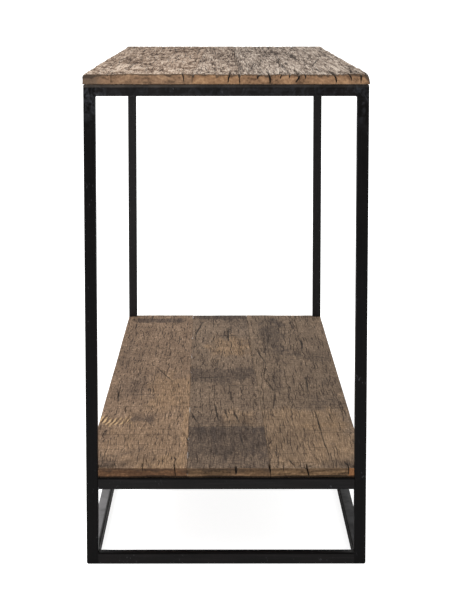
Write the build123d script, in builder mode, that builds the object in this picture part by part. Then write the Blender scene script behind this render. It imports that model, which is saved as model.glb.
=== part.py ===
from build123d import *
import os

# Console table: three old planks on top and three on a low shelf, on a welded frame of square steel tube.
# X runs along the table, Y across it from the front to the back, Z up. Sizes are in millimetres.
# The origin is on the floor, under the middle of the table.

# Overall sizes
frame_length = 1400.0
frame_width = 455.0
table_height = 800.0
shelf_rail_underside = 124.5

# Square steel tube, and the ground outer corners of the two end frames
tube_size = 19.0
tube_wall = 1.5
tube_corner = 2.0
frame_corner = 3.0

# Planks of the top and of the shelf
top_thickness = 17.0
top_overhang = 1.0
top_front_plank_width_left = 188.0
top_front_plank_width_right = 174.0
top_back_plank_width = 207.5
shelf_thickness = 17.0
shelf_setback = 1.0
shelf_front_plank_width_left = 152.0
shelf_front_plank_width_right = 164.0
shelf_back_plank_width_left = 176.5
shelf_back_plank_width_right = 155.0
plank_gap = 0.6
plank_edge_round = 2.0
leg_clearance = 0.5

# Flat steel bars that carry the planks between the side rails
cross_bar_count = 3
cross_bar_width = 30.0
cross_bar_thickness = 4.0
cross_bar_inset = 90.0

# Countersunk wood screws, driven up through the bars into the planks
screw_diameter = 4.0
screw_head_diameter = 8.0
screw_length = 14.0
screw_tip_length = 3.0
screw_clearance = 0.1
recess_width = 1.0
recess_span = 4.4
recess_depth = 1.1

# Fillet welds in the inner corners of the frame
weld_leg = 2.0

# Heights and faces that follow from the sizes above
frame_height = table_height - top_thickness
half_length = frame_length / 2
half_width = frame_width / 2
inner_end = half_length - tube_size
inner_side = half_width - tube_size
end_frame_middle = half_length - tube_size / 2
side_rail_middle = half_width - tube_size / 2
shelf_rail_top = shelf_rail_underside + tube_size
tube_bore = tube_size - 2 * tube_wall
weld_length = tube_size - 2 * tube_corner
ends = {"left": -1, "right": 1}
sides = {"front": -1, "back": 1}
rail_middles = {
    "top": frame_height - tube_size / 2,
    "shelf": shelf_rail_underside + tube_size / 2,
    "floor": tube_size / 2,
}

os.makedirs("parts", exist_ok=True)


def keep(piece, label):
    """Names a finished piece and writes it to its own file."""
    piece.label = label
    export_step(piece, f"parts/{label}.step")


def mitred_tube(outer_start, outer_end, inner_end_point, inner_start, end, along):
    """One side of an end frame: a tube cut at 45 degrees at both ends, drawn in the plane of that frame."""
    corners = [Vector(*point) for point in (outer_start, outer_end, inner_end_point, inner_start)]
    wall_share = tube_wall / tube_size
    start_mitre = corners[3] - corners[0]
    end_mitre = corners[2] - corners[1]
    bore = [
        corners[0] + start_mitre * wall_share,
        corners[1] + end_mitre * wall_share,
        corners[1] + end_mitre * (1 - wall_share),
        corners[0] + start_mitre * (1 - wall_share),
    ]
    lower_face = end * end_frame_middle - tube_size / 2
    with BuildPart() as tube:
        with BuildSketch(Plane.YZ.offset(lower_face)):
            with BuildLine():
                Polyline(*corners, close=True)
            make_face()
            with Locations((0, frame_height / 2)):
                RectangleRounded(frame_width, frame_height, frame_corner, mode=Mode.INTERSECT)
        extrude(amount=tube_size)
        fillet(tube.edges().filter_by(along), radius=tube_corner)
        with BuildSketch(Plane.YZ.offset(lower_face + tube_wall)):
            with BuildLine():
                Polyline(*bore, close=True)
            make_face()
        extrude(amount=tube_bore, mode=Mode.SUBTRACT)
    return tube.part


def straight_tube(plane, middle, length):
    """A square-cut tube, centred on the plane and running along its normal."""
    with BuildPart() as tube:
        with BuildSketch(plane):
            with Locations(middle):
                RectangleRounded(tube_size, tube_size, tube_corner)
                Rectangle(tube_bore, tube_bore, mode=Mode.SUBTRACT)
        extrude(amount=length / 2, both=True)
    return tube.part


# End frames: each is two legs and two end rails, mitred at the four corners
for end_name, end in ends.items():
    top_end_rail = mitred_tube(
        (-half_width, frame_height),
        (half_width, frame_height),
        (inner_side, frame_height - tube_size),
        (-inner_side, frame_height - tube_size),
        end,
        Axis.Y,
    )
    keep(top_end_rail, f"top_end_rail_{end_name}")

    floor_end_rail = mitred_tube(
        (-half_width, 0),
        (half_width, 0),
        (inner_side, tube_size),
        (-inner_side, tube_size),
        end,
        Axis.Y,
    )
    keep(floor_end_rail, f"floor_end_rail_{end_name}")

    for side_name, side in sides.items():
        leg = mitred_tube(
            (side * half_width, 0),
            (side * half_width, frame_height),
            (side * inner_side, frame_height - tube_size),
            (side * inner_side, tube_size),
            end,
            Axis.Z,
        )
        keep(leg, f"leg_{end_name}_{side_name}")

    shelf_end_rail = straight_tube(
        Plane.XZ, (end * end_frame_middle, rail_middles["shelf"]), 2 * inner_side
    )
    keep(shelf_end_rail, f"shelf_end_rail_{end_name}")

# Side rails: three on each long side, butted between the end frames
for level, rail_middle in rail_middles.items():
    for side_name, side in sides.items():
        side_rail = straight_tube(Plane.YZ, (side * side_rail_middle, rail_middle), 2 * inner_end)
        keep(side_rail, f"{level}_side_rail_{side_name}")

# Plank layout: the Y of each joint at the left end and at the right end
top_half_width = half_width + top_overhang
top_front_joint = (
    -top_half_width + top_front_plank_width_left,
    -top_half_width + top_front_plank_width_right,
)
top_back_joint = (top_half_width - top_back_plank_width, top_half_width - top_back_plank_width)
shelf_front_joint = (
    -half_width + shelf_front_plank_width_left,
    -half_width + shelf_front_plank_width_right,
)
shelf_back_joint = (
    half_width - shelf_back_plank_width_left,
    half_width - shelf_back_plank_width_right,
)


def plank_edges_of(outer, front_joint, back_joint):
    """The Y of every plank's low and high edge, at the left and right ends, with a gap at both joints."""
    half_gap = plank_gap / 2
    return {
        "front": ((-outer, -outer), [y - half_gap for y in front_joint]),
        "middle": ([y + half_gap for y in front_joint], [y - half_gap for y in back_joint]),
        "back": ([y + half_gap for y in back_joint], (outer, outer)),
    }


# Cross bars stand at even steps along the table, the outer two set in from the end frames
first_bar = -inner_end + cross_bar_inset
bar_step = -2 * first_bar / (cross_bar_count - 1)
bar_places = [first_bar + i * bar_step for i in range(cross_bar_count)]


def edge_at(edge, x, half_span):
    """The Y of a plank's edge at a place along the table; the edge runs straight from end to end."""
    return edge[0] + (edge[1] - edge[0]) * (x + half_span) / (2 * half_span)


def screw_rows(plank_edges, half_span):
    """For each plank, two screws at every bar, at the quarter points of what lies over the bar."""
    rows = {}
    for place, (low_edge, high_edge) in plank_edges.items():
        rows[place] = []
        for x in bar_places:
            low = max(edge_at(low_edge, x, half_span), -inner_side)
            high = min(edge_at(high_edge, x, half_span), inner_side)
            rows[place] += [(x, low + share * (high - low)) for share in (0.25, 0.75)]
    return rows


def plank(edges, half_span, underside, thickness, screw_places, notched_sides):
    """A board with worn top edges, pilot holes for its screws, and notches where legs pass its corners."""
    low_edge, high_edge = edges
    notch = 2 * (tube_size + leg_clearance)
    leg_corners = [(end * half_length, side * half_width) for side in notched_sides for end in ends.values()]
    with BuildPart() as board:
        with BuildSketch(Plane.XY.offset(underside)):
            with BuildLine():
                Polyline(
                    (-half_span, low_edge[0]),
                    (half_span, low_edge[1]),
                    (half_span, high_edge[1]),
                    (-half_span, high_edge[0]),
                    close=True,
                )
            make_face()
            with Locations(*leg_corners):
                Rectangle(notch, notch, mode=Mode.SUBTRACT)
        extrude(amount=thickness)
        fillet(board.faces().sort_by(Axis.Z)[-1].edges(), radius=plank_edge_round)
        with BuildSketch(Plane.XY.offset(underside)):
            with Locations(*screw_places):
                Circle((screw_diameter + screw_clearance) / 2)
        extrude(amount=screw_length - cross_bar_thickness + screw_clearance, mode=Mode.SUBTRACT)
    return board.part


def cross_bar(x, rail_top, screw_places):
    """A flat bar between the side rails, flush with their tops, countersunk from below."""
    underside = rail_top - cross_bar_thickness
    with BuildPart() as bar:
        with BuildSketch(Plane.XY.offset(underside)):
            with Locations((x, 0)):
                Rectangle(cross_bar_width, 2 * inner_side)
        extrude(amount=cross_bar_thickness)
        with Locations(*[Location((x, y, underside), (180, 0, 0)) for _, y in screw_places]):
            CounterSinkHole(
                radius=(screw_diameter + screw_clearance) / 2,
                counter_sink_radius=(screw_head_diameter + screw_clearance) / 2,
            )
    return bar.part


# One screw, point up, with the flat of its head at the origin and a cross recess in it
head_height = (screw_head_diameter - screw_diameter) / 2
with BuildPart() as screw:
    with BuildSketch(Plane.XZ):
        with BuildLine():
            Polyline(
                (0, 0),
                (screw_head_diameter / 2, 0),
                (screw_diameter / 2, head_height),
                (screw_diameter / 2, screw_length - screw_tip_length),
                (0, screw_length),
                close=True,
            )
        make_face()
    revolve(axis=Axis.Z)
    with BuildSketch(Plane.XY):
        Rectangle(recess_span, recess_width)
        Rectangle(recess_width, recess_span)
    extrude(amount=recess_depth, mode=Mode.SUBTRACT)

# Planks, bars and screws of the top and of the shelf
levels = {
    "top": (
        plank_edges_of(top_half_width, top_front_joint, top_back_joint),
        half_length + top_overhang,
        frame_height,
        top_thickness,
    ),
    "shelf": (
        plank_edges_of(half_width, shelf_front_joint, shelf_back_joint),
        half_length - shelf_setback,
        shelf_rail_top,
        shelf_thickness,
    ),
}
for level, (plank_edges, half_span, rail_top, thickness) in levels.items():
    rows = screw_rows(plank_edges, half_span)
    for place, edges in plank_edges.items():
        notched_sides = [sides[place]] if level == "shelf" and place in sides else []
        board = plank(edges, half_span, rail_top, thickness, rows[place], notched_sides)
        keep(board, f"{level}_plank_{place}")

    every_screw = [spot for row in rows.values() for spot in row]
    for number, x in enumerate(bar_places, start=1):
        bar = cross_bar(x, rail_top, [spot for spot in every_screw if spot[0] == x])
        keep(bar, f"{level}_cross_bar_{number}")

    with BuildPart() as screws:
        with Locations(*[(x, y, rail_top - cross_bar_thickness) for x, y in every_screw]):
            add(screw.part)
    keep(screws.part, f"{level}_screws")


def weld_corners(corner, across, up):
    """The triangle of a fillet weld in the corner between two faces; across and up point into the open."""
    return corner, (corner[0] + across * weld_leg, corner[1]), (corner[0], corner[1] + up * weld_leg)


# Weld beads: at each level, the inner corners of the end frames, the side rails' ends and the bars' ends
open_below = {"top": True, "shelf": True, "floor": False}
for level, rail_middle in rail_middles.items():
    up = -1 if open_below[level] else 1
    open_face = rail_middle + up * tube_size / 2
    bar_underside = rail_middle + tube_size / 2 - cross_bar_thickness
    beads = []
    for side in sides.values():
        for end in ends.values():
            end_frame_corner = weld_corners((side * inner_side, open_face), -side, up)
            beads.append((Plane.YZ.offset(end * end_frame_middle), end_frame_corner, weld_length))
            rail_side = weld_corners((end * inner_end, side * inner_side), -end, -side)
            beads.append((Plane.XY.offset(rail_middle), rail_side, weld_length))
            rail_face = weld_corners((end * inner_end, open_face), -end, up)
            beads.append((Plane.XZ.offset(-side * side_rail_middle), rail_face, weld_length))
        if open_below[level]:
            bar_end = weld_corners((side * inner_side, bar_underside), -side, -1)
            beads += [(Plane.YZ.offset(x), bar_end, cross_bar_width) for x in bar_places]
    with BuildPart() as welds:
        for plane, triangle, length in beads:
            with BuildSketch(plane):
                with BuildLine():
                    Polyline(*triangle, close=True)
                make_face()
            extrude(amount=length / 2, both=True)
    keep(welds.part, f"{level}_weld_beads")
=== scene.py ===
import math

import bmesh
import bpy
import numpy as np
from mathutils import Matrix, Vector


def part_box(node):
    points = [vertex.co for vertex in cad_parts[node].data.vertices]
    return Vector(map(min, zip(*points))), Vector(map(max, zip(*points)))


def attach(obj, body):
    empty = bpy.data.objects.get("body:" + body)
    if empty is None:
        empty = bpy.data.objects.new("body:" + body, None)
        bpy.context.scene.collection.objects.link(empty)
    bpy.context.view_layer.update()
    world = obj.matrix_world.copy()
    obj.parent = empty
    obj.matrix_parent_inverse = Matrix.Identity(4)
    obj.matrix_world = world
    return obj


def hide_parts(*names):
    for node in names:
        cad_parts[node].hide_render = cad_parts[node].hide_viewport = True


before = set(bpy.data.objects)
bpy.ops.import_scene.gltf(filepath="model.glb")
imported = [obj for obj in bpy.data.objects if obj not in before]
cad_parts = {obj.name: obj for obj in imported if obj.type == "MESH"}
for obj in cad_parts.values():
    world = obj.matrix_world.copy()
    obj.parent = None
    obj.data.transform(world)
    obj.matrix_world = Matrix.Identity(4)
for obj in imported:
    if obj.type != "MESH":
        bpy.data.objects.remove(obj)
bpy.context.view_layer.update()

MM = 0.001
ENDS = {"left": -1, "right": 1}
SIDES = {"front": -1, "back": 1}
PLACES = ("front", "middle", "back")

# Camera of the photograph, in metres and degrees, with its lens and sensor in millimetres; the shift stands
# for part of its raised, level lens
CAMERA_PLACE = (3.591, -0.007, 0.932)
CAMERA_PITCH = 5.958
CAMERA_YAW = 0.1
CAMERA_LENS = 109.25
CAMERA_SENSOR = 36.0
CAMERA_SHIFT = -0.2
CAMERA_REACH = 1000.0

# Meshing of the planks, in millimetres
STATION_STEP = 4.0
END_STATIONS = (0.0, 0.3, 0.7, 1.2, 1.9, 2.9, 4.4)
EDGE_COLUMNS = (0.0, 0.3, 0.8, 1.5, 2.4, 3.5, 4.8)
COLUMN_TOLERANCE = 0.01
SIDE_ROWS = 5
BOTTOM_COLUMNS = 24
NOTCH_STEP = 0.02
LEG_CLEARANCE = 0.5
LEAST_WOOD = 0.5
# Edges turned further than this, in degrees, show sharp; points closer than this, in metres, are one
SHARP_ANGLE = 40
MERGE_DISTANCE = 1e-6

# Joints between the planks, in millimetres: the gap of the solids, the gap that shows, and a joint's waves
PLANK_GAP = 0.6
SHOWN_GAP = 0.4
JOINT_WAVE = 0.8
JOINT_WAVE_LENGTH = 70
# Which way each level's two joints slant from the left end to the right one: 1 is towards the back
SLANTS = {"top": (-1, 1), "shelf": (1, 1)}
JOINT_SEEDS = {"top": (301, 317), "shelf": (331, 347)}

# Worn outer edges: the length of their waves, and how far from a corner the wear is full, in millimetres
EDGE_WAVE_LENGTH = 110
CORNER_HOLD = 60

# Grain, in millimetres: how far it strays sideways, the size (along, across) of its slow and quick bends,
# and how far from an edge or an end it runs free
GRAIN_WANDER = 3.0
SLOW_BEND = (330, 48)
QUICK_BEND = (46, 13)
EDGE_HOLD = 14
END_HOLD = 45

# Cracks, in millimetres: a lip's width, the room kept free of other columns, the reach of a leaning crack's
# pull on the wood beside it, the least distance from a plank's edge, and how far a run goes past an end
CRACK_LIP = 0.4
CRACK_ROOM = 0.3
CRACK_DRAG = 9.0
CRACK_MARGIN = 2.0
PAST_END = 1.0
# Share of a crack's depth at which it bends, and of its width at its root
CRACK_KNEE = 0.4
CRACK_ROOT = 0.6
# How a crack's depth tapers along it, for cracks that run out of an end and for short seasoning checks
END_TAPER = 0.6
CHECK_TAPER = 0.8
# Seasoning checks: how far beyond the left end they may start, in millimetres, and the shares of a plank's
# width between which they lie
CHECK_LEAD = 20
CHECK_SPREAD = (0.02, 0.98)
# How a crack's depth varies along it, as a mean share and a swing, over a length in millimetres, and the
# depth at which it is fully dark
RAGGED_MEAN = 0.85
RAGGED_SWING = 0.3
RAGGED_LENGTH = 9
DARK_DEPTH = 2

# Scored lines: how far they stray from the straight and the sizes of those bends, in millimetres, the share
# of their half width that frays, the size (along, across) of the frays, and the share in which they deepen
STROKE_BEND = 1.8
STROKE_BEND_ALONG = (24, 90)
STROKE_BEND_ACROSS = (60, 40)
STROKE_FRAY = 0.4
STROKE_FRAY_SIZE = (12, 5)
STROKE_SLOPE = 0.7

# Patches: size (along, across) of the drift and sway of their limits and of their streaks, in millimetres
PATCH_DRIFT_SIZE = (70, 16)
PATCH_SWAY_SIZE = (45, 20)
PATCH_STREAK_SIZE = (90, 5)

# Worn arrises: the share of the radius that is left far from the photographed end, how far it takes to fall
# to that, and the swing and length of its changes along an edge; then swings and lengths for the chipped
# ends, with their least radius, and for the rounded ends of the underside; lengths are in millimetres
ARRIS_SHARE = 0.35
ARRIS_FADE = 30
ARRIS_SWING = 0.4
ARRIS_LENGTH = 42
CHIP_SWING = 0.9
CHIP_LENGTH = 15
LEAST_CHIP = 0.2
FOOT_SWING = 0.7
FOOT_LENGTH = 55

# Rough sides and ends, in millimetres: depth and size of the roughness, the boards' height, and where the
# dirt and painted shade in a crack fades on an end, from the crack's foot
SIDE_ROUGH = 0.35
SIDE_ROUGH_SIZE = (30, 6)
BOARD_HEIGHT = 17
END_ROUGH = 0.25
END_ROUGH_SIZE = (7, 7)
CRACK_DIRT_AND_SHADE_FADE = (-3, 1)


# Noise on whole arrays

def lattice(i, j, seed):
    """A repeatable value from 0 to 1 for each pair of whole numbers: the fraction of a large sine."""
    value = np.sin(i * 127.1 + j * 311.7 + seed * 74.7) * 43758.5453
    return value - np.floor(value)


def noise(x, y, cell_x, cell_y, seed):
    """Smooth noise from -1 to 1: lattice values eased by 3t^2 - 2t^3 along both axes of each cell."""
    across, up = np.floor(x / cell_x), np.floor(y / cell_y)
    s, t = x / cell_x - across, y / cell_y - up
    s, t = s * s * (3 - 2 * s), t * t * (3 - 2 * t)
    low = lattice(across, up, seed) * (1 - s) + lattice(across + 1, up, seed) * s
    high = lattice(across, up + 1, seed) * (1 - s) + lattice(across + 1, up + 1, seed) * s
    return 2 * (low * (1 - t) + high * t) - 1


def layered(x, y, cell_x, cell_y, seed, layers=3):
    """Noise in layers, each half the size and half the height of the one before, scaled back to -1 to 1."""
    total = sum(noise(x, y, cell_x / 2**k, cell_y / 2**k, seed + 17 * k) / 2**k for k in range(layers))
    return total / (2 - 2 ** (1 - layers))


def furrows(x, y, cell_x, cell_y, seed, sharpness):
    """Branching furrows from 0 to 1 along the zero lines of a noise n: (1 - |n|)^sharpness."""
    bent_x = x + 0.2 * cell_x * noise(x, y, 0.9 * cell_x, 4 * cell_y, seed + 5)
    bent_y = y + 0.35 * cell_y * noise(x, y, 0.6 * cell_x, 2 * cell_y, seed + 6)
    return (1 - np.abs(layered(bent_x, bent_y, cell_x, cell_y, seed))) ** sharpness


def ease(value, low, high):
    """0 below one limit, 1 above the other, and 3t^2 - 2t^3 between them."""
    t = np.clip((value - low) / (high - low), 0, 1)
    return t * t * (3 - 2 * t)


def rounding(distance, radius):
    """How far a rounded arris drops at a distance from its edge: r - sqrt(r^2 - (r - d)^2)."""
    inside = np.clip(radius - distance, 0, radius)
    return radius - np.sqrt(np.maximum(radius**2 - inside**2, 0))


# Meshes

def mesh_object(name, points, polygons, material):
    """An object at the origin from an array of points in millimetres and a list of polygons."""
    mesh = bpy.data.meshes.new(name)
    mesh.from_pydata((points * MM).tolist(), [], polygons)
    mesh.materials.append(material)
    mesh.polygons.foreach_set("use_smooth", np.ones(len(mesh.polygons), bool))
    mesh.set_sharp_from_angle(angle=math.radians(SHARP_ANGLE))
    mesh.update()
    piece = bpy.data.objects.new(name, mesh)
    bpy.context.scene.collection.objects.link(piece)
    return piece


def grid_quads(index, flip=False):
    """The quads of a grid of vertex numbers; unflipped, they face along (first axis) x (second axis)."""
    quads = np.stack([index[:-1, :-1], index[1:, :-1], index[1:, 1:], index[:-1, 1:]], axis=-1)
    quads = quads.reshape(-1, 4)
    return (quads[:, ::-1] if flip else quads).tolist()


def add_mark(piece, name, values):
    """Stores one number for each point of a piece, for its material to read."""
    attribute = piece.data.attributes.new(name, "FLOAT", "POINT")
    attribute.data.foreach_set("value", values.astype(np.float32))


def weld_doubles(piece):
    """Merges points at the same place, such as those that a notch has brought together."""
    mesh = bmesh.new()
    mesh.from_mesh(piece.data)
    bmesh.ops.remove_doubles(mesh, verts=mesh.verts, dist=MERGE_DISTANCE)
    mesh.to_mesh(piece.data)
    mesh.free()


def plank_edges(level, place):
    """The Y of a plank's two edges at both ends, left first, in millimetres, from the three planks' boxes.

    Where a joint slants, each plank's box reaches it at one end only, and its neighbour's at the other.
    Each plank swells until only the gap that shows is left.
    """
    front, middle, back = [[corner.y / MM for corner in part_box(f"{level}_plank_{side}")] for side in PLACES]
    front_widens, back_widens = [slant > 0 for slant in SLANTS[level]]
    front_reach, back_reach = front[1] + PLANK_GAP, back[0] - PLANK_GAP
    front_joint = (middle[0], front_reach) if front_widens else (front_reach, middle[0])
    back_joint = (back_reach, middle[1]) if back_widens else (middle[1], back_reach)
    swell = (PLANK_GAP - SHOWN_GAP) / 2
    return {
        "front": ((front[0], front[0]), tuple(y - PLANK_GAP + swell for y in front_joint)),
        "middle": (tuple(y - swell for y in front_joint), tuple(y + swell for y in back_joint)),
        "back": (tuple(y + PLANK_GAP - swell for y in back_joint), (back[1], back[1])),
    }[place]


class Plank:
    """A board as a grid: stations x along it, columns t across it, and a depth of wear below its top face.

    Its cross-section is a ring: the top from the low edge to the high edge, down the high side, back along
    the underside and up the low side. Carrying the ring along x gives the skin, and a grid closes each end.
    Columns follow the grain, so a crack along the grain keeps to its columns.
    """

    def __init__(self, level, place, column_step, edge_wear, foot_radius, end_cracks, seed):
        self.node = f"{level}_plank_{place}"
        self.seed = seed
        self.foot_radius = foot_radius
        low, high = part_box(self.node)
        self.low_x, self.high_x = low.x / MM, high.x / MM
        self.underside, self.top = low.z / MM, high.z / MM
        self.notch_side = SIDES.get(place, 0) if level == "shelf" else 0
        self.notch_x, self.notch_y = 0.0, 0.0
        if self.notch_side:
            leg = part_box(f"leg_right_{place}")
            self.notch_x = self.high_x - leg[0].x / MM + LEG_CLEARANCE
            self.notch_y = (leg[1].y - leg[0].y) / MM + LEG_CLEARANCE
        self.lay_stations()
        self.lay_edges(level, place, edge_wear)
        inside = [crack for crack in end_cracks if self.holds(crack[0])]
        self.lay_columns(column_step, inside)
        self.depth = np.zeros_like(self.X)
        self.leaning = []
        self.marks = {"crack": np.zeros_like(self.X)}
        for y, half_width, depth, length, *leans in inside:
            self.split(y, self.high_x - length, self.high_x + PAST_END, depth, half_width, leans, END_TAPER)

    def holds(self, y):
        """Whether a place across the table lies on this plank at its right end, clear of its edges."""
        return self.low_y[-1] + CRACK_MARGIN < y < self.high_y[-1] - CRACK_MARGIN

    def lay_stations(self):
        """Stations lie close together at both ends, and a pair of them stands at each wall of a notch."""
        ends = np.array(END_STATIONS)
        count = int((self.high_x - self.low_x) / STATION_STEP)
        inner = np.linspace(self.low_x + ends[-1], self.high_x - ends[-1], count)[1:-1]
        walls = []
        if self.notch_side:
            walls = [wall + step for wall in (self.low_x + self.notch_x, self.high_x - self.notch_x)
                     for step in (-NOTCH_STEP, NOTCH_STEP)]
        self.x = np.sort(np.concatenate([self.low_x + ends, inner, self.high_x - ends, np.array(walls)]))

    def lay_edges(self, level, place, edge_wear):
        """Both edges run straight from end to end, but a joint waves and an outer edge is worn back."""
        share = (self.x - self.low_x) / (self.high_x - self.low_x)
        flat = np.zeros_like(self.x)
        low_edge, high_edge = [a + (b - a) * share for a, b in plank_edges(level, place)]
        front_wave, back_wave = [
            JOINT_WAVE * layered(self.x, flat, JOINT_WAVE_LENGTH, 1, seed) for seed in JOINT_SEEDS[level]
        ]
        inset = ease(np.minimum(self.x - self.low_x, self.high_x - self.x), 0, CORNER_HOLD)
        worn = edge_wear * inset * (0.5 + 0.5 * layered(self.x, flat, EDGE_WAVE_LENGTH, 1, self.seed + 4))
        self.low_y = low_edge + {"front": worn, "middle": front_wave, "back": back_wave}[place]
        self.high_y = high_edge + {"front": front_wave, "middle": back_wave, "back": -worn}[place]

    def lay_columns(self, column_step, end_cracks):
        """Columns run from edge to edge, with three close ones at either side of each end crack.

        They drift sideways with the grain, but not at the edges and ends.
        """
        width = self.high_y[-1] - self.low_y[-1]
        edge = np.array(EDGE_COLUMNS)
        inner = np.linspace(edge[-1], width - edge[-1], int(width / column_step))[1:-1]
        across = np.concatenate([edge, inner, width - edge[::-1]])
        for y, half_width, *_ in end_cracks:
            place = y - self.low_y[-1]
            across = across[np.abs(across - place) > half_width + CRACK_LIP + CRACK_ROOM]
            side = np.array([CRACK_ROOT * half_width, half_width, half_width + CRACK_LIP])
            across = np.sort(np.concatenate([across, place - side, place + side]))
        self.across = across + self.low_y[-1]
        self.t = across / width
        self.X = np.repeat(self.x[:, None], len(self.t), axis=1)
        self.straight = self.low_y[:, None] + self.t * (self.high_y - self.low_y)[:, None]
        self.from_low = self.straight - self.low_y[:, None]
        self.from_high = self.high_y[:, None] - self.straight
        self.from_end = np.minimum(self.X - self.low_x, self.high_x - self.X)
        from_edge = np.minimum(self.from_low, self.from_high)
        hold = np.clip(from_edge / EDGE_HOLD - 0.1, 0, 1) * ease(self.from_end, 0, END_HOLD)
        slow = noise(self.X, self.straight, *SLOW_BEND, self.seed + 1)
        quick = noise(self.X, self.straight, *QUICK_BEND, self.seed + 2)
        self.Y = self.straight + GRAIN_WANDER * hold * (slow + 0.5 * quick)

    def split(self, y, start, end, depth, half_width=0.0, leans=(), taper=0.5):
        """A drying crack along the grain, near y, from one x to another.

        Its depth follows sin(pi s)^taper along it, or, where it runs out of an end of the board, falls off
        from that end as (1 - s)^taper. It takes the nearest column, or, given a half width, is a V with a
        knee part of the way down, and leans one way above the knee and another below it.
        """
        s = np.clip((self.x - start) / (end - start), 0, 1)
        inside = (self.x >= start) & (self.x <= end)
        if not inside.any():
            return
        if end >= self.high_x:
            fall = s**taper
        elif start <= self.low_x:
            fall = (1 - s) ** taper
        else:
            fall = np.sin(np.pi * s) ** taper
        swing = noise(self.x, np.full_like(self.x, y), RAGGED_LENGTH, 1, self.seed + 3)
        ragged = RAGGED_MEAN + RAGGED_SWING * swing
        run = np.where(inside, depth * fall * ragged, 0)
        away = np.abs((self.across if half_width else self.Y[np.argmax(run)]) - y)
        columns = [int(np.argmin(away))]
        if half_width:
            columns = np.flatnonzero(away <= half_width + COLUMN_TOLERANCE)
            self.leaning.append((y, run, leans))
        for k in columns:
            if 2 <= k < len(self.t) - 2:
                at_knee = half_width and away[k] > CRACK_ROOT * half_width + COLUMN_TOLERANCE
                reach = CRACK_KNEE * run if at_knee else run
                self.depth[:, k] = np.maximum(self.depth[:, k], reach)
                # Dirt and painted shade: the crack mark darkens a crack more the deeper it is
                dark = np.clip(reach / DARK_DEPTH, 0, 1)
                self.marks["crack"][:, k] = np.maximum(self.marks["crack"][:, k], dark)

    def carried(self, y, deep, stations):
        """How far sideways the end cracks carry points, given the points' places across and their depths.

        Each crack's own path, lean times depth, fades with the distance from it as exp(-(d / drag)^2).
        """
        shift = np.zeros_like(deep)
        for place, run, (upper, lower) in self.leaning:
            whole = run[stations]
            knee = CRACK_KNEE * whole
            below_knee = np.minimum(np.maximum(deep - knee, 0), whole - knee)
            path = upper * np.minimum(deep, knee) + lower * below_knee
            shift = shift + path * np.exp(-(((y - place) / CRACK_DRAG) ** 2))
        return shift

    def scatter_checks(self, count, length, depth, seed):
        """Short seasoning checks all over the board, at seeded random places."""
        draw = np.random.default_rng(seed)
        lengths = draw.uniform(*length, count)
        starts = draw.uniform(self.low_x - CHECK_LEAD, self.high_x - CHECK_LEAD, count)
        places = draw.uniform(*CHECK_SPREAD, count)
        depths = draw.uniform(*depth, count)
        for start, run, place, deep in zip(starts, lengths, places, depths):
            y = self.low_y[0] + place * (self.high_y[0] - self.low_y[0])
            self.split(y, start, start + run, deep, taper=CHECK_TAPER)

    def stroke(self, start, end, half_width, depth, dark):
        """A scored line between two points (x, y): a groove that fades with the distance from it.

        It also fades at its ends. Noise first bends the points, so that the line strays from the straight.
        """
        run = np.array(end) - np.array(start)
        X = self.X - start[0] + STROKE_BEND * layered(self.Y, self.X, *STROKE_BEND_ALONG, self.seed + 15)
        Y = self.Y - start[1] + STROKE_BEND * layered(self.X, self.Y, *STROKE_BEND_ACROSS, self.seed + 16)
        near = np.clip((X * run[0] + Y * run[1]) / (run @ run), 0, 1)
        away = np.hypot(X - near * run[0], Y - near * run[1])
        frays = noise(self.X, self.Y, *STROKE_FRAY_SIZE, self.seed + 10)
        away = away + STROKE_FRAY * half_width * frays
        groove = ease(1 - away / half_width, 0, STROKE_SLOPE) * np.sin(np.pi * (0.08 + 0.84 * near)) ** 0.5
        self.depth += depth * groove
        # Dirt and painted shade along the groove, as dark as the stroke's darkness
        self.marks["crack"] = np.maximum(self.marks["crack"], dark * groove)

    def patch(self, mark, x_range, y_range, strength, soft_x, soft_y):
        """A patch between limits along and across the board.

        Each limit is eased over its own softness, in millimetres, and wanders by twice that. The cover is
        streaked along the grain.
        """
        drift = layered(self.X, self.Y, *PATCH_DRIFT_SIZE, self.seed + 11)
        sway = layered(self.X, self.Y, *PATCH_SWAY_SIZE, self.seed + 12)
        streaks = 0.85 + 0.35 * layered(self.X, self.Y, *PATCH_STREAK_SIZE, self.seed + 13)
        cover = strength * streaks
        for place, limits, soft, wander in (
            (self.X, x_range, soft_x, drift), (self.Y, y_range, (soft_y, soft_y), sway)
        ):
            low, high = limits
            rise = ease(place + 2 * soft[0] * wander, low - soft[0], low + soft[0])
            fall = ease(place + 2 * soft[1] * wander, high - soft[1], high + soft[1])
            cover = cover * rise * (1 - fall)
        self.marks[mark] = np.clip(np.maximum(self.marks[mark], cover), 0, 1)

    def round_arrises(self, low_radius, high_radius, end_radius):
        """Wears the top's edges round.

        The radius changes along each edge, and grows to its full size only near the photographed end.
        """
        drop = np.zeros_like(self.X)
        for radius, distance, seed in ((low_radius, self.from_low, 5), (high_radius, self.from_high, 6)):
            growth = ARRIS_SHARE + (1 - ARRIS_SHARE) * np.exp(-(self.high_x - self.X) / ARRIS_FADE)
            swing = noise(self.X, self.X * 0, ARRIS_LENGTH, 1, self.seed + seed)
            worn = radius * growth * (1 + ARRIS_SWING * swing)
            drop = np.maximum(drop, rounding(distance, worn))
        chips = layered(self.straight, self.straight * 0, CHIP_LENGTH, 1, self.seed + 7)
        chipped = end_radius * (1 + CHIP_SWING * chips)
        drop = np.maximum(drop, rounding(self.from_end, np.maximum(chipped, LEAST_CHIP)))
        self.depth = self.depth + drop

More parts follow.
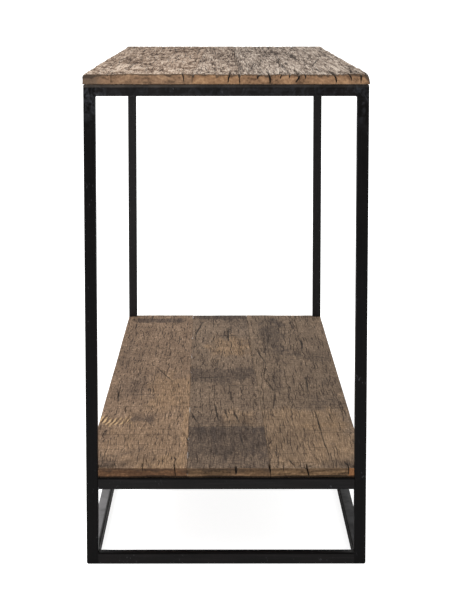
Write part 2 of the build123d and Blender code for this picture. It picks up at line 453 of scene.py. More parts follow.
    def cut_back(self, Y):
        """Brings the columns that a notch cuts off to its wall; returns them with a mask of those moved."""
        at_end = (self.x < self.low_x + self.notch_x) | (self.x > self.high_x - self.notch_x)
        if self.notch_side < 0:
            wall = (self.low_y + self.notch_y)[:, None]
            cut = at_end[:, None] & (Y < wall)
        else:
            wall = (self.high_y - self.notch_y)[:, None]
            cut = at_end[:, None] & (Y > wall)
        return np.where(cut, wall, Y), cut

    def top_grid(self):
        """The worn top as points, cut back at a notch; cut columns take the first kept one's height."""
        depth = np.clip(self.depth, 0, self.top - self.underside_height(self.X, self.Y) - LEAST_WOOD)
        each = np.arange(len(self.x))[:, None]
        Y, Z = self.Y + self.carried(self.Y, depth, each), self.top - depth
        if self.notch_side:
            Y, cut = self.cut_back(Y)
            if self.notch_side < 0:
                keeper = np.argmax(~cut, axis=1)
            else:
                keeper = len(self.t) - 1 - np.argmax(~cut[:, ::-1], axis=1)
            Z = np.where(cut, np.take_along_axis(Z, keeper[:, None], 1), Z)
        return np.stack([self.X, Y, Z], axis=-1)

    def underside_height(self, x, y):
        """The height of the underside, which rounds up to both ends by a radius that changes across it."""
        radius = self.foot_radius * (1 + FOOT_SWING * layered(y, y * 0, FOOT_LENGTH, 1, self.seed + 14, 2))
        return self.underside + rounding(np.minimum(x - self.low_x, self.high_x - x), radius)

    def flank(self, edge, base, inward):
        """A side face below one edge of the top: rows going down to the base, roughened inwards."""
        down = np.arange(1, SIDE_ROWS + 1) / (SIDE_ROWS + 1)
        saw_marks = 1 + layered(self.x[:, None], down * BOARD_HEIGHT, *SIDE_ROUGH_SIZE, self.seed + 8)
        rough = SIDE_ROUGH * saw_marks * np.sin(np.pi * down)
        y = edge[:, None, 1] + inward * rough
        z = edge[:, None, 2] + (base[:, None] - edge[:, None, 2]) * down
        return np.stack(np.broadcast_arrays(self.x[:, None], y, z), axis=-1)

    def end_face(self, top, ring, station, first, flip):
        """One end as a grid from the top's columns down, whose columns lean with the cracks near them.

        Returns its new points, their marks and all its polygons.
        """
        columns = len(self.t)
        down = (np.arange(1, SIDE_ROWS + 1) / (SIDE_ROWS + 1))[:, None]
        head = top[station, 1:-1]
        plain_y = (self.cut_back(self.Y)[0] if self.notch_side else self.Y)[station]
        foot_y = plain_y[1:-1]
        z = head[:, 2] + (self.underside_height(self.x[station], foot_y) - head[:, 2]) * down
        y = foot_y + self.carried(foot_y, self.top - z, station)
        inset = END_ROUGH * (1 + layered(y, z, *END_ROUGH_SIZE, self.seed + 9)) * np.sin(np.pi * down)
        x = self.x[station] + (inset if flip else -inset)
        inner = first + np.arange(y.size).reshape(y.shape)
        low_rows = ring[-1 : -SIDE_ROWS - 1 : -1]
        high_rows = ring[columns : columns + SIDE_ROWS]
        face = np.concatenate([ring[None, :columns], np.column_stack([low_rows, inner, high_rows])])
        polygons = grid_quads(face, flip)
        foot = ring[columns + SIDE_ROWS : columns + SIDE_ROWS + BOTTOM_COLUMNS][::-1]
        stops = np.searchsorted(plain_y, np.linspace(plain_y[0], plain_y[-1], BOTTOM_COLUMNS))
        stops[0], stops[-1] = 0, columns - 1
        for k in range(BOTTOM_COLUMNS - 1):
            strip = [*face[-1, stops[k] : stops[k + 1] + 1][::-1], foot[k], foot[k + 1]]
            polygons.append([int(v) for v in (strip[::-1] if flip else strip)])
        crack, depth = self.marks["crack"][station], self.depth[station]
        crack = np.maximum(crack, 0.5 * np.maximum(np.roll(crack, 1), np.roll(crack, -1)))
        depth = np.maximum(depth, np.maximum(np.roll(depth, 1), np.roll(depth, -1)))
        # Dirt and painted shade down the end face inside each crack, fading near the crack's foot
        fade_from, fade_to = [depth[1:-1] + step for step in CRACK_DIRT_AND_SHADE_FADE]
        crack_dirt_and_shade = crack[1:-1] * (1 - ease(self.top - z, fade_from, fade_to))
        points = np.stack([x, y, z], axis=-1).reshape(-1, 3)
        return points, (head[:, 2] - z).ravel(), crack_dirt_and_shade.ravel(), polygons

    def build(self, name, material, elsewhere):
        """Makes the closed mesh and stores the marks on its points; elsewhere has those off the top."""
        top = self.top_grid()
        across = np.linspace(0, 1, BOTTOM_COLUMNS)
        bottom_y = top[:, -1:, 1] + (top[:, :1, 1] - top[:, -1:, 1]) * across
        bottom_z = self.underside_height(self.x[:, None], bottom_y)
        bottom = np.stack(np.broadcast_arrays(self.x[:, None], bottom_y, bottom_z), axis=-1)
        high_side = self.flank(top[:, -1], bottom_z[:, 0], -1)
        low_side = self.flank(top[:, 0], bottom_z[:, -1], 1)
        rings = np.concatenate([top, high_side, bottom, low_side[:, ::-1]], axis=1)
        index = np.arange(rings.shape[0] * rings.shape[1]).reshape(rings.shape[:2])
        polygons = grid_quads(np.concatenate([index, index[:, :1]], axis=1))
        points = [rings.reshape(-1, 3)]
        below = np.zeros(rings.shape[:2])
        foot = len(self.t) + SIDE_ROWS
        for edge, rows in ((-1, slice(len(self.t), foot)), (0, slice(-SIDE_ROWS, None))):
            below[:, rows] = top[:, edge, 2:] - rings[:, rows, 2]
        below[:, foot:-SIDE_ROWS] = self.top - self.underside
        depths, cracks_dirt_and_shade = [below.ravel()], []
        count = len(points[0])
        for station, flip in ((0, True), (len(self.x) - 1, False)):
            extra, extra_depths, crack_dirt_and_shade, more = self.end_face(top, index[station], station, count, flip)
            points.append(extra)
            depths.append(extra_depths)
            cracks_dirt_and_shade.append(crack_dirt_and_shade)
            polygons += more
            count += len(extra)
        piece = mesh_object(name, np.concatenate(points), polygons, material)
        add_mark(piece, "below", np.concatenate(depths) * MM)
        for mark, values in self.marks.items():
            plain = elsewhere.get(mark, 0.0)
            spread = np.full(rings.shape[:2], plain)
            spread[:, : len(self.t)] = values
            on_ends = np.concatenate(cracks_dirt_and_shade) if mark == "crack" else np.full(count - spread.size, plain)
            add_mark(piece, mark, np.concatenate([spread.ravel(), on_ends]))
        if self.notch_side:
            weld_doubles(piece)
        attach(piece, "root")
        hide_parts(self.node)
        return piece


# Shader trees

class Tree:
    """A node tree in the making: adds a node, sets or links its inputs, and hands back its outputs."""

    def __init__(self, tree):
        self.tree = tree

    def add(self, kind, inputs=None, **settings):
        node = self.tree.nodes.new("ShaderNode" + kind)
        for key, value in settings.items():
            setattr(node, key, value)
        for key, value in (inputs or {}).items():
            self.put(node.inputs[key], value)
        return node

    def put(self, socket, value):
        """Links an input to another node's output, or sets it to a number or a colour."""
        if isinstance(value, bpy.types.NodeSocket):
            self.tree.links.new(value, socket)
        else:
            socket.default_value = value

    def calc(self, operation, *values):
        return self.add("Math", dict(enumerate(values)), operation=operation).outputs[0]

    def times(self, first, *others):
        """The product of values."""
        for value in others:
            first = self.calc("MULTIPLY", first, value)
        return first

    def most(self, first, *others):
        """The highest of values."""
        for value in others:
            first = self.calc("MAXIMUM", first, value)
        return first

    def weigh(self, *pairs):
        """The sum of values times their weights."""
        total = 0.0
        for value, weight in pairs:
            total = self.calc("MULTIPLY_ADD", value, weight, total)
        return total

    def mix(self, factor, first, second, blend="MIX"):
        """One colour mixed with another: a Mix node's colours are its inputs 6 and 7 and its output 2."""
        inputs = {0: factor, 6: first, 7: second}
        return self.add("Mix", inputs, data_type="RGBA", blend_type=blend).outputs[2]

    def ramp(self, value, places, colours):
        """Colours at set values, mixed smoothly from one to the next."""
        colour = colours[0]
        for low, high, next_colour in zip(places, places[1:], colours[1:]):
            colour = self.mix(self.span(value, low, high), colour, next_colour)
        return colour

    def span(self, value, low, high, to_low=0.0, to_high=1.0):
        """A smooth step between two limits, which runs from one value to another."""
        inputs = {"Value": value, "From Min": low, "From Max": high, "To Min": to_low, "To Max": to_high}
        return self.add("MapRange", inputs, interpolation_type="SMOOTHSTEP").outputs[0]

    def mark(self, name):
        """One of the marks stored on a piece's points."""
        return self.add("Attribute", attribute_name=name).outputs["Fac"]

    def point(self):
        return self.add("TexCoord").outputs["Object"]

    def facing(self):
        return self.split(self.add("TexCoord").outputs["Normal"])

    def split(self, vector):
        return self.add("SeparateXYZ", {0: vector}).outputs

    def join(self, x, y, z):
        return self.add("CombineXYZ", {"X": x, "Y": y, "Z": z}).outputs[0]

    def noise(self, vector, scale, detail=2.0, roughness=0.5, distortion=0.0):
        inputs = {"Vector": vector, "Scale": scale, "Detail": detail, "Roughness": roughness,
                  "Distortion": distortion}
        return self.add("TexNoise", inputs).outputs["Fac"]

    def bump(self, height, strength, distance):
        return self.add("Bump", {"Height": height, "Strength": strength, "Distance": distance}).outputs[0]

    def group(self, group, **values):
        """A node group; an underscore in a keyword stands for a space in the socket's name."""
        inputs = {key.replace("_", " "): value for key, value in values.items()}
        return self.add("Group", inputs, node_tree=group).outputs


def node_group(name, inputs, outputs):
    """A shader group with float inputs, {name: value}, and outputs; returns it, its tree and its ends."""
    group = bpy.data.node_groups.new(name, "ShaderNodeTree")
    for key, value in inputs.items():
        socket = group.interface.new_socket(name=key, in_out="INPUT", socket_type="NodeSocketFloat")
        socket.default_value = value
    for key in outputs:
        group.interface.new_socket(name=key, in_out="OUTPUT", socket_type="NodeSocketFloat")
    start = group.nodes.new("NodeGroupInput")
    end = group.nodes.new("NodeGroupOutput")
    return group, Tree(group), start.outputs, end.inputs


# Bends of the grain for each metre along and across it
BENDS_ALONG = 13.0
BENDS_ACROSS = 36.0


def bent_across(tree, along, across, shift, wave, detail):
    """A place across the grain, moved sideways by a slow noise times a wave."""
    slow = tree.join(tree.times(along, BENDS_ALONG), tree.times(across, BENDS_ACROSS), shift)
    bend = tree.calc("SUBTRACT", tree.noise(slow, 1.0, detail), 0.5)
    return tree.calc("MULTIPLY_ADD", bend, wave, across)


def grain_group():
    """Streaks of noise along X, on points divided by a grain length and width; Wave bends them sideways."""
    group, tree, given, made = node_group(
        "grain_streaks",
        {"Length": 0.1, "Width": 0.004, "Shift": 0.0, "Detail": 3.0, "Wave": 0.0},
        ["Streak"],
    )
    spot = tree.split(tree.point())
    bent = bent_across(tree, spot["X"], spot["Y"], given["Shift"], given["Wave"], 3.0)
    across = tree.calc("DIVIDE", bent, given["Width"])
    upward = tree.calc("ADD", tree.calc("DIVIDE", spot["Z"], given["Width"]), given["Shift"])
    stretched = tree.join(tree.calc("DIVIDE", spot["X"], given["Length"]), across, upward)
    tree.put(made["Streak"], tree.noise(stretched, 1.0, given["Detail"], 0.6, 0.2))
    return group


def line_group():
    """Thin broken lines side by side, such as the pores of wood.

    The face is cut into strips, Spacing wide and bent by Wave. Each strip has one line, at a random place
    across it, as wide as twice Half width. A noise along the strip breaks it into pieces of about the given
    length.
    """
    group, tree, given, made = node_group(
        "broken_lines",
        {"Along": 0.0, "Across": 0.0, "Spacing": 0.004, "Half width": 0.0006, "Piece": 0.05, "Wave": 0.0,
         "Shift": 0.0},
        ["Line"],
    )
    bent = bent_across(tree, given["Along"], given["Across"], given["Shift"], given["Wave"], 4.0)
    place = tree.calc("DIVIDE", bent, given["Spacing"])
    strip = tree.calc("FLOOR", place)
    number = tree.calc("ADD", strip, given["Shift"])
    chance = tree.add("TexWhiteNoise", {"W": number}, noise_dimensions="1D").outputs[0]
    middle = tree.span(chance, 0.0, 1.0, 0.15, 0.85)
    inside = tree.calc("SUBTRACT", tree.calc("SUBTRACT", place, strip), middle)
    away = tree.times(tree.calc("ABSOLUTE", inside), given["Spacing"])
    line = tree.span(away, given["Half width"], tree.times(given["Half width"], 0.4))
    along = tree.calc("DIVIDE", given["Along"], given["Piece"])
    gate = tree.noise(tree.join(along, tree.times(strip, 5.3), given["Shift"]), 1.0, 1.0)
    tree.put(made["Line"], tree.times(line, tree.span(gate, 0.5, 0.6)))
    return group


def end_grain_group():
    """End grain, on the faces that look along X.

    Mask finds those faces. Ring is a wave of the distance from a pith below the board, ruffled by noise.
    Blotch is noise drawn out by a spread across and a rise, at a slope. Creep is a darker grey band that
    comes down from the top arris, by a reach that changes along the edge and grows towards the table's long
    sides.
    """
    group, tree, given, made = node_group(
        "end_grain",
        {"Pith across": 0.0, "Pith height": 0.0, "Ring step": 0.003, "Below": 0.0, "Reach": 0.002,
         "Side reach": 0.0, "Slope": 0.7, "Spread": 1.0, "Rise": 0.5},
        ["Mask", "Ring", "Blotch", "Creep"],
    )
    tree.put(made["Mask"], tree.span(tree.calc("ABSOLUTE", tree.facing()["X"]), 0.55, 0.8))
    point = tree.point()
    spot = tree.split(point)
    across = tree.calc("SUBTRACT", spot["Y"], given["Pith across"])
    up = tree.calc("SUBTRACT", spot["Z"], given["Pith height"])
    away = tree.calc("SQRT", tree.calc("MULTIPLY_ADD", across, across, tree.times(up, up)))
    ruffled = tree.calc("MULTIPLY_ADD", tree.noise(point, 35.0, 4.0, 0.6), 0.016, away)
    turn = tree.calc("DIVIDE", tree.times(ruffled, 2 * math.pi), given["Ring step"])
    tree.put(made["Ring"], tree.calc("MULTIPLY_ADD", tree.calc("SINE", turn), 0.5, 0.5))
    sloped = tree.calc("MULTIPLY_ADD", spot["Z"], given["Slope"], spot["Y"])
    drawn_out = tree.calc("DIVIDE", sloped, given["Spread"])
    leaning = tree.join(spot["X"], drawn_out, tree.times(spot["Z"], given["Rise"]))
    tree.put(made["Blotch"], tree.noise(leaning, 95.0, 5.0, 0.65, 0.4))
    along = tree.noise(tree.join(spot["X"], spot["Y"], tree.times(spot["Z"], 0.25)), 50.0, 4.0, 0.6)
    outer = tree.span(tree.calc("ABSOLUTE", spot["Y"]), 0.19, 0.226)
    reach = tree.times(given["Reach"], tree.span(along, 0.45, 0.75, 0.7, 3.0))
    reach = tree.calc("MULTIPLY_ADD", outer, given["Side reach"], reach)
    tree.put(made["Creep"], tree.span(tree.calc("SUBTRACT", given["Below"], reach), 0.0012, -0.0012))
    return group


def scratch_group():
    """Fine scratches on metal: noise drawn out at a slant, kept where it and a broad noise are high."""
    group, tree, given, made = node_group("fine_scratches", {"Fineness": 500.0, "Amount": 0.5}, ["Scratch"])
    spot = tree.split(tree.point())
    slanted = tree.join(
        tree.calc("ADD", spot["X"], tree.times(spot["Z"], 0.4)),
        tree.calc("ADD", spot["Y"], tree.times(spot["Z"], 0.15)),
        tree.times(spot["Z"], 0.12),
    )
    line = tree.span(tree.noise(slanted, given["Fineness"], 1.0), 0.66, 0.74)
    where = tree.span(tree.noise(tree.point(), 28.0, 3.0, 0.6), 0.54, 0.66)
    tree.put(made["Scratch"], tree.times(line, where, given["Amount"]))
    return group


GRAIN = grain_group()
LINES = line_group()
END_GRAIN = end_grain_group()
SCRATCHES = scratch_group()


def new_material(name):
    """A material with only a Principled shader; returns it, its tree and the shader's inputs."""
    material = bpy.data.materials.new(name)
    material.use_nodes = True
    tree = Tree(material.node_tree)
    material.node_tree.nodes.clear()
    shader = tree.add("BsdfPrincipled")
    tree.put(tree.add("OutputMaterial").inputs["Surface"], shader.outputs[0])
    return material, tree, shader.inputs


def rgb(red, green, blue):
    """A colour from the 0 to 255 numbers that a picture shows, as linear light."""
    shares = [c / 255 for c in (red, green, blue)]
    return (*[c / 12.92 if c <= 0.04045 else ((c + 0.055) / 1.055) ** 2.4 for c in shares], 1.0)


# Woods

# Where the lines in the wood start to thin and where they are thinnest, along the table, in metres
LEFT_TO_RIGHT = (-0.7, 0.7)
# Where the shelf's photographed end was cut again, from this place across the table to the back, in metres
FRESH_CUT = 0.199
WOOD_SPECULAR = 0.2

# Near black brown: dirt and painted shade in the cracks, and painted shade at the foot of the shelf's cut
# ends
DIRT_AND_PAINTED_SHADE = rgb(30, 23, 18)
TOP_FIBRE = rgb(34, 27, 22)
TOP_SIDE_GREY = rgb(98, 83, 71)
TOP_ARRIS_GREY = rgb(66, 55, 47)
SHELF_LINE = rgb(44, 31, 22)
SHELF_AMBER = (rgb(104, 79, 54), rgb(178, 145, 108))
SHELF_TORN = (rgb(84, 62, 44), rgb(186, 156, 116))
SHELF_STAIN = rgb(147, 147, 156)
SHELF_ARRIS_GREY = rgb(70, 56, 46)
SHELF_FRESH = rgb(150, 102, 66)


def wood_colour(tree, surface, mask, cut):
    """The colour of the long faces and, where the mask says, of the cut ends, with dirt and painted shade in
    the cracks.
    """
    colour = tree.mix(mask, surface, cut)
    # Dirt and painted shade: the crack mark darkens the cracks towards near black
    return tree.mix(tree.times(tree.mark("crack"), 0.92), colour, DIRT_AND_PAINTED_SHADE)


def top_end_grain(tree, spot, speck, end_tones, pith):
    """The top's cut ends: honey-coloured, greyed at the front corner and below the arris.

    Returns their mask and their colour.
    """
    end = tree.group(END_GRAIN, Pith_across=pith[0], Pith_height=pith[1], Ring_step=0.006,
                     Below=tree.mark("below"), Reach=0.0016, Side_reach=0.004, Slope=0.2, Spread=2.0,
                     Rise=0.8)
    tone = tree.weigh((end["Ring"], 0.06), (end["Blotch"], 1.0), (speck, 0.4))
    cut = tree.ramp(tone, (0.54, 0.73, 0.92), end_tones)
    to_front = tree.weigh((spot["Y"], -1.0), (speck, 0.02), (end["Blotch"], 0.03))
    cut = tree.mix(tree.span(to_front, 0.218, 0.238, 0.0, 0.75), cut, TOP_SIDE_GREY)
    cut = tree.mix(tree.times(end["Creep"], 0.75), cut, TOP_ARRIS_GREY)
    return end["Mask"], cut


def weathered_top_wood(name, tones, end_tones, streak, shift, pith):
    """Old outdoor wood: grey-brown streaks, pale ridges, dirt and painted shade in the furrows, and cut ends.
    """
    material, tree, shader = new_material(name)
    spot = tree.split(tree.point())
    broad = tree.group(GRAIN, Length=0.6, Width=0.008, Shift=shift, Wave=0.012)["Streak"]
    fine = tree.group(GRAIN, Length=streak, Width=0.0017, Shift=shift + 5, Detail=2.0, Wave=0.012)["Streak"]
    across = tree.calc("ADD", spot["Y"], spot["Z"])
    thickness = tree.span(spot["X"], *LEFT_TO_RIGHT, 0.0013, 0.0009)
    fibre = tree.group(LINES, Along=spot["X"], Across=across, Spacing=0.0072, Half_width=thickness,
                       Piece=2.0 * streak, Wave=0.016, Shift=shift + 3)["Line"]
    patch = tree.noise(tree.point(), 9.0, 4.0, 0.6)
    speck = tree.noise(tree.point(), 190.0, 2.0, 0.6)
    bleached = tree.span(spot["X"], 0.2, 0.65)
    tone = tree.weigh((tree.mark("ridge"), 0.72), (broad, 0.2), (fine, 1.75), (patch, 0.12), (speck, 0.7),
                      (bleached, 0.08))
    surface = tree.ramp(tone, (1.42, 1.79, 2.29), tones)
    surface = tree.mix(tree.times(fibre, 0.95), surface, TOP_FIBRE)
    mask, cut = top_end_grain(tree, spot, speck, end_tones, pith)
    tree.put(shader["Base Color"], wood_colour(tree, surface, mask, cut))
    tree.put(shader["Roughness"], tree.span(tone, 1.3, 2.1, 0.95, 0.75))
    shown_fibre = tree.times(fibre, tree.calc("SUBTRACT", 1.0, mask))
    relief = tree.weigh((fine, 0.6), (broad, 0.5), (speck, 0.4), (shown_fibre, -0.5))
    tree.put(shader["Normal"], tree.bump(relief, 0.6, 0.0014))
    shader["Specular IOR Level"].default_value = WOOD_SPECULAR
    return material


def shelf_end_grain(tree, spot, speck, end_tones, pith):
    """The shelf's cut ends: brown, greyed below the arris, orange where cut again, and darkened at the foot
    by painted shade.

    Returns their mask and their colour.
    """
    below = tree.mark("below")
    end = tree.group(END_GRAIN, Pith_across=pith[0], Pith_height=pith[1], Ring_step=0.007, Below=below,
                     Reach=0.0025, Slope=-0.5, Spread=3.5, Rise=2.2)
    tone = tree.weigh((end["Ring"], 0.05), (end["Blotch"], 1.0), (speck, 0.5))
    cut = tree.ramp(tone, (0.55, 0.77, 0.98), end_tones)
    cut = tree.mix(tree.times(end["Creep"], 0.55), cut, SHELF_ARRIS_GREY)
    fresh = tree.span(spot["Y"], FRESH_CUT - 0.0008, FRESH_CUT + 0.0008, 0.0, 0.75)
    cut = tree.mix(fresh, cut, SHELF_FRESH)
    # Painted shade: the foot of the cut end darkens towards near black, where it sits on the rail
    cut = tree.mix(tree.span(below, 0.0135, 0.0165, 0.0, 0.85), cut, DIRT_AND_PAINTED_SHADE)
    return end["Mask"], cut


def shelf_lines(tree, spot, pores, shift):
    """Dark lines on sawn wood: long cracks and short ticks along the grain, and saw lines across it."""
    across = tree.calc("ADD", spot["Y"], spot["Z"])
    thickness = tree.span(spot["X"], *LEFT_TO_RIGHT, 0.0013, 0.00075)
    cracks = tree.group(LINES, Along=spot["X"], Across=across, Spacing=0.017, Half_width=thickness,
                        Piece=2.5 * pores, Wave=0.026, Shift=shift + 12)["Line"]
    ticks = tree.group(LINES, Along=spot["X"], Across=across, Spacing=0.006, Half_width=thickness,
                       Piece=pores, Wave=0.014, Shift=shift + 9)["Line"]
    saw_lines = tree.group(LINES, Along=spot["Y"], Across=spot["X"], Spacing=0.03, Half_width=0.003,
                           Piece=0.03, Shift=shift + 15)["Line"]
    return tree.most(cracks, tree.times(ticks, 0.95), tree.times(saw_lines, 0.5))


def shelf_patches(tree, surface, spot, fine, patch):
    """The shelf's colour with amber wood, torn fibres in slanting rows and grey stains, at its marks."""
    amber = tree.mix(tree.span(fine, 0.3, 0.7), *SHELF_AMBER)
    surface = tree.mix(tree.times(tree.mark("amber"), 0.55), surface, amber)
    rows = tree.weigh((spot["Y"], 2 * math.pi / 0.0088), (spot["X"], 2 * math.pi / 0.06), (patch, 12.0))
    torn = tree.mix(tree.span(tree.calc("SINE", rows), -0.3, 0.5), *SHELF_TORN)
    ragged = tree.span(tree.noise(tree.point(), 70.0, 3.0, 0.7), 0.3, 0.6, 0.2, 1.0)
    surface = tree.mix(tree.times(tree.mark("torn"), ragged), surface, torn)
    stained = tree.mix(1.0, surface, SHELF_STAIN, "MULTIPLY")
    return tree.mix(tree.mark("stain"), surface, stained)


def sawn_shelf_wood(name, tones, end_tones, pores, shift, pith):
    """Old sawn wood kept indoors: brown, with streaks, specks, patches, thin dark lines and cut ends."""
    material, tree, shader = new_material(name)
    point = tree.point()
    spot = tree.split(point)
    broad = tree.group(GRAIN, Length=0.25, Width=0.012, Shift=shift, Wave=0.015)["Streak"]
    fine = tree.group(GRAIN, Length=0.035, Width=0.0016, Shift=shift + 5, Detail=2.0, Wave=0.008)["Streak"]
    patch = tree.noise(point, 11.0, 4.0, 0.6)
    speck = tree.noise(point, 240.0, 2.0, 0.6)
    lines = shelf_lines(tree, spot, pores, shift)
    tone = tree.weigh((broad, 0.35), (fine, 1.08), (patch, 0.4), (speck, 0.95))
    surface = tree.ramp(tone, (1.05, 1.4, 1.73), tones)
    surface = tree.mix(lines, shelf_patches(tree, surface, spot, fine, patch), SHELF_LINE)
    mask, cut = shelf_end_grain(tree, spot, speck, end_tones, pith)
    tree.put(shader["Base Color"], wood_colour(tree, surface, mask, cut))
    tree.put(shader["Roughness"], tree.span(tone, 1.1, 2.0, 0.9, 0.7))
    shown_lines = tree.times(lines, tree.calc("SUBTRACT", 1.0, mask))
    relief = tree.weigh((fine, 0.5), (speck, 0.3), (shown_lines, -1.0))
    tree.put(shader["Normal"], tree.bump(relief, 0.6, 0.001))
    shader["Specular IOR Level"].default_value = WOOD_SPECULAR
    return material


# Metals

# Paint colours, among them painted shade for the legs at the right end and for the upper edges of the lower
# end rails, painted light for the legs at the left end, a painted highlight with the wear along the top
# rails' upper edges, and a painted reflection on the front floor rail
PAINT = {
    "deep": rgb(8, 6, 6), "thin": rgb(18, 14, 14), "brushed": rgb(32, 28, 29), "painted shade on near legs": rgb(4, 4, 4),
    "painted light on far legs": rgb(40, 39, 40), "rubbed": rgb(76, 78, 84), "worn edge with painted highlight": rgb(88, 80, 74),
    "painted_floor_rail_reflection": rgb(132, 130, 131), "scratched": rgb(110, 110, 114), "painted_edge_shade": rgb(4, 3, 3),
}
# How much a brush draws its marks out, and how fine they are
BRUSH_DRAW = 0.03
BRUSH_FINENESS = 330.0
# How far the paint's bounds between two pieces are softened, in metres
PAINT_BOUND = 0.0005


def painted_floor_rail_reflection(tree, spot, cloud):
    """A painted reflection: pale grey on the upward face of the front floor rail, except along its inner
    edge.
    """
    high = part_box("floor_side_rail_front")[1]
    outer = tree.span(spot["Y"], high.y - 0.0035, high.y - 0.005)
    low_down = tree.span(spot["Z"], high.z + 0.002, high.z)
    facing_up = tree.span(tree.facing()["Z"], 0.5, 0.8)
    return tree.times(outer, low_down, facing_up, tree.span(cloud, 0.2, 0.6, 0.25, 0.8))


def painted_shade_edges(tree, spot, on_leg):
    """Painted shade: dark bands along the upper edges of the end rails at the shelf and the floor, between
    the legs.
    """
    painted_edge_shade = 0.0
    for level in ("shelf", "floor"):
        low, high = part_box(f"{level}_end_rail_right")
        rise = tree.span(spot["Z"], high.z - 0.0035, high.z - 0.0015)
        fall = tree.span(spot["Z"], high.z + 0.0006, high.z + 0.0001)
        at_end = tree.span(tree.calc("ABSOLUTE", spot["X"]), low.x - PAINT_BOUND, low.x + PAINT_BOUND)
        painted_edge_shade = tree.calc("MULTIPLY_ADD", tree.times(rise, fall), at_end, painted_edge_shade)
    return tree.times(painted_edge_shade, tree.span(on_leg, 0.0, 1.0, 0.7, 0.0))


def black_paint():
    """Brushed black paint on steel: satin, with duller patches, brush lines, scratches and a fine peel.

    It is rubbed bluish grey at the top corners, worn along the top rails' upper edges with a painted
    highlight there, and given a pale grey painted reflection on the front floor rail. Painted shade darkens
    the upper edges of the other end rails and the legs at the right end, and painted light greys the legs
    at the left end.
    """
    material, tree, shader = new_material("black_paint")
    point = tree.point()
    spot = tree.split(point)
    side = tree.calc("ABSOLUTE", spot["Y"])
    cloud = tree.noise(point, 26.0, 4.0, 0.6)
    peel = tree.noise(point, 900.0, 2.0, 0.5)
    smear = tree.span(tree.noise(point, 75.0, 5.0, 0.7, 1.0), 0.42, 0.7)
    scratch = tree.group(SCRATCHES, Fineness=420.0, Amount=0.35)["Scratch"]
    inner_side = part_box("leg_right_back")[0].y
    on_leg = tree.span(side, inner_side - PAINT_BOUND, inner_side + PAINT_BOUND)
    near_leg = tree.times(on_leg, tree.span(spot["X"], -0.1, 0.1))
    along_rail = tree.join(spot["X"], tree.times(spot["Y"], BRUSH_DRAW), spot["Z"])
    along_leg = tree.join(spot["X"], spot["Y"], tree.times(spot["Z"], BRUSH_DRAW))
    rail_marks, leg_marks = [tree.noise(way, BRUSH_FINENESS, 3.0) for way in (along_rail, along_leg)]
    brushed = tree.mix(on_leg, rail_marks, leg_marks)
    top_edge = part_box("top_end_rail_right")[1].z
    high_up = tree.span(spot["Z"], top_edge - 0.09, top_edge - 0.01)
    top_rail = tree.span(spot["Z"], top_edge - 0.021, top_edge - 0.017)
    upper_edge = tree.span(spot["Z"], top_edge - 0.006, top_edge - 0.0035)
    corner = tree.times(high_up, tree.span(side, 0.16, 0.215), tree.span(spot["Y"], -0.1, 0.1, 0.7, 0.45))
    more_in_front = tree.span(spot["Y"], -0.2, 0.15, 1.0, 0.35)
    painted_edge_shade = painted_shade_edges(tree, spot, on_leg)
    colour = tree.mix(tree.span(cloud, 0.35, 0.7), PAINT["deep"], PAINT["thin"])
    for share, shade in (
        (tree.span(brushed, 0.45, 0.75, 0.0, 0.6), "brushed"),
        # Painted shade darkens the legs at the right end, and painted light greys those at the left end
        (tree.times(near_leg, 0.68), "painted shade on near legs"),
        (tree.times(tree.calc("SUBTRACT", on_leg, near_leg), 0.5), "painted light on far legs"),
        (tree.times(tree.most(corner, tree.times(top_rail, 0.22)), smear), "rubbed"),
        # Wear and a painted highlight along the top rails' upper edges, stronger at the front
        (tree.times(upper_edge, tree.span(cloud, 0.35, 0.65, 0.35, 0.7), more_in_front), "worn edge with painted highlight"),
        # A painted reflection, pale grey, on the front floor rail's upward face
        (painted_floor_rail_reflection(tree, spot, cloud), "painted_floor_rail_reflection"),
        (scratch, "scratched"),
        # Painted shade along the upper edges of the lower end rails
        (painted_edge_shade, "painted_edge_shade"),
    ):
        colour = tree.mix(share, colour, PAINT[shade])
    tree.put(shader["Base Color"], colour)
    tree.put(shader["Roughness"], tree.calc("ADD", tree.span(cloud, 0.3, 0.75, 0.32, 0.5), scratch))
    # The specular level falls where shade is painted, on the lower end rails' upper edges and the legs at the
    # right end, and towards the back of the top rail
    back_of_rail = tree.times(top_rail, tree.span(spot["Y"], 0.0, 0.18, 0.0, 0.45))
    duller = tree.most(painted_edge_shade, tree.times(near_leg, 0.47), back_of_rail)
    tree.put(shader["Specular IOR Level"], tree.span(duller, 0.0, 1.0, 0.22, 0.02))
    relief = tree.weigh((peel, 1.0), (brushed, 0.5), (scratch, -1.0))
    tree.put(shader["Normal"], tree.bump(relief, 0.15, 0.0004))
    return material


def zinc_screw():
    """Bright zinc on the screw heads, slightly yellowed and scratched."""
    material, tree, shader = new_material("zinc_screw")
    cloud = tree.noise(tree.point(), 300.0, 3.0, 0.6)
    scratch = tree.group(SCRATCHES, Fineness=2500.0, Amount=0.6)["Scratch"]
    colour = tree.mix(cloud, rgb(160, 157, 146), rgb(204, 203, 199))
    tree.put(shader["Base Color"], tree.mix(scratch, colour, rgb(110, 108, 102)))
    tree.put(shader["Roughness"], tree.calc("ADD", tree.span(cloud, 0.3, 0.7, 0.26, 0.42), scratch))
    shader["Metallic"].default_value = 1.0
    return material


# Planks of the top

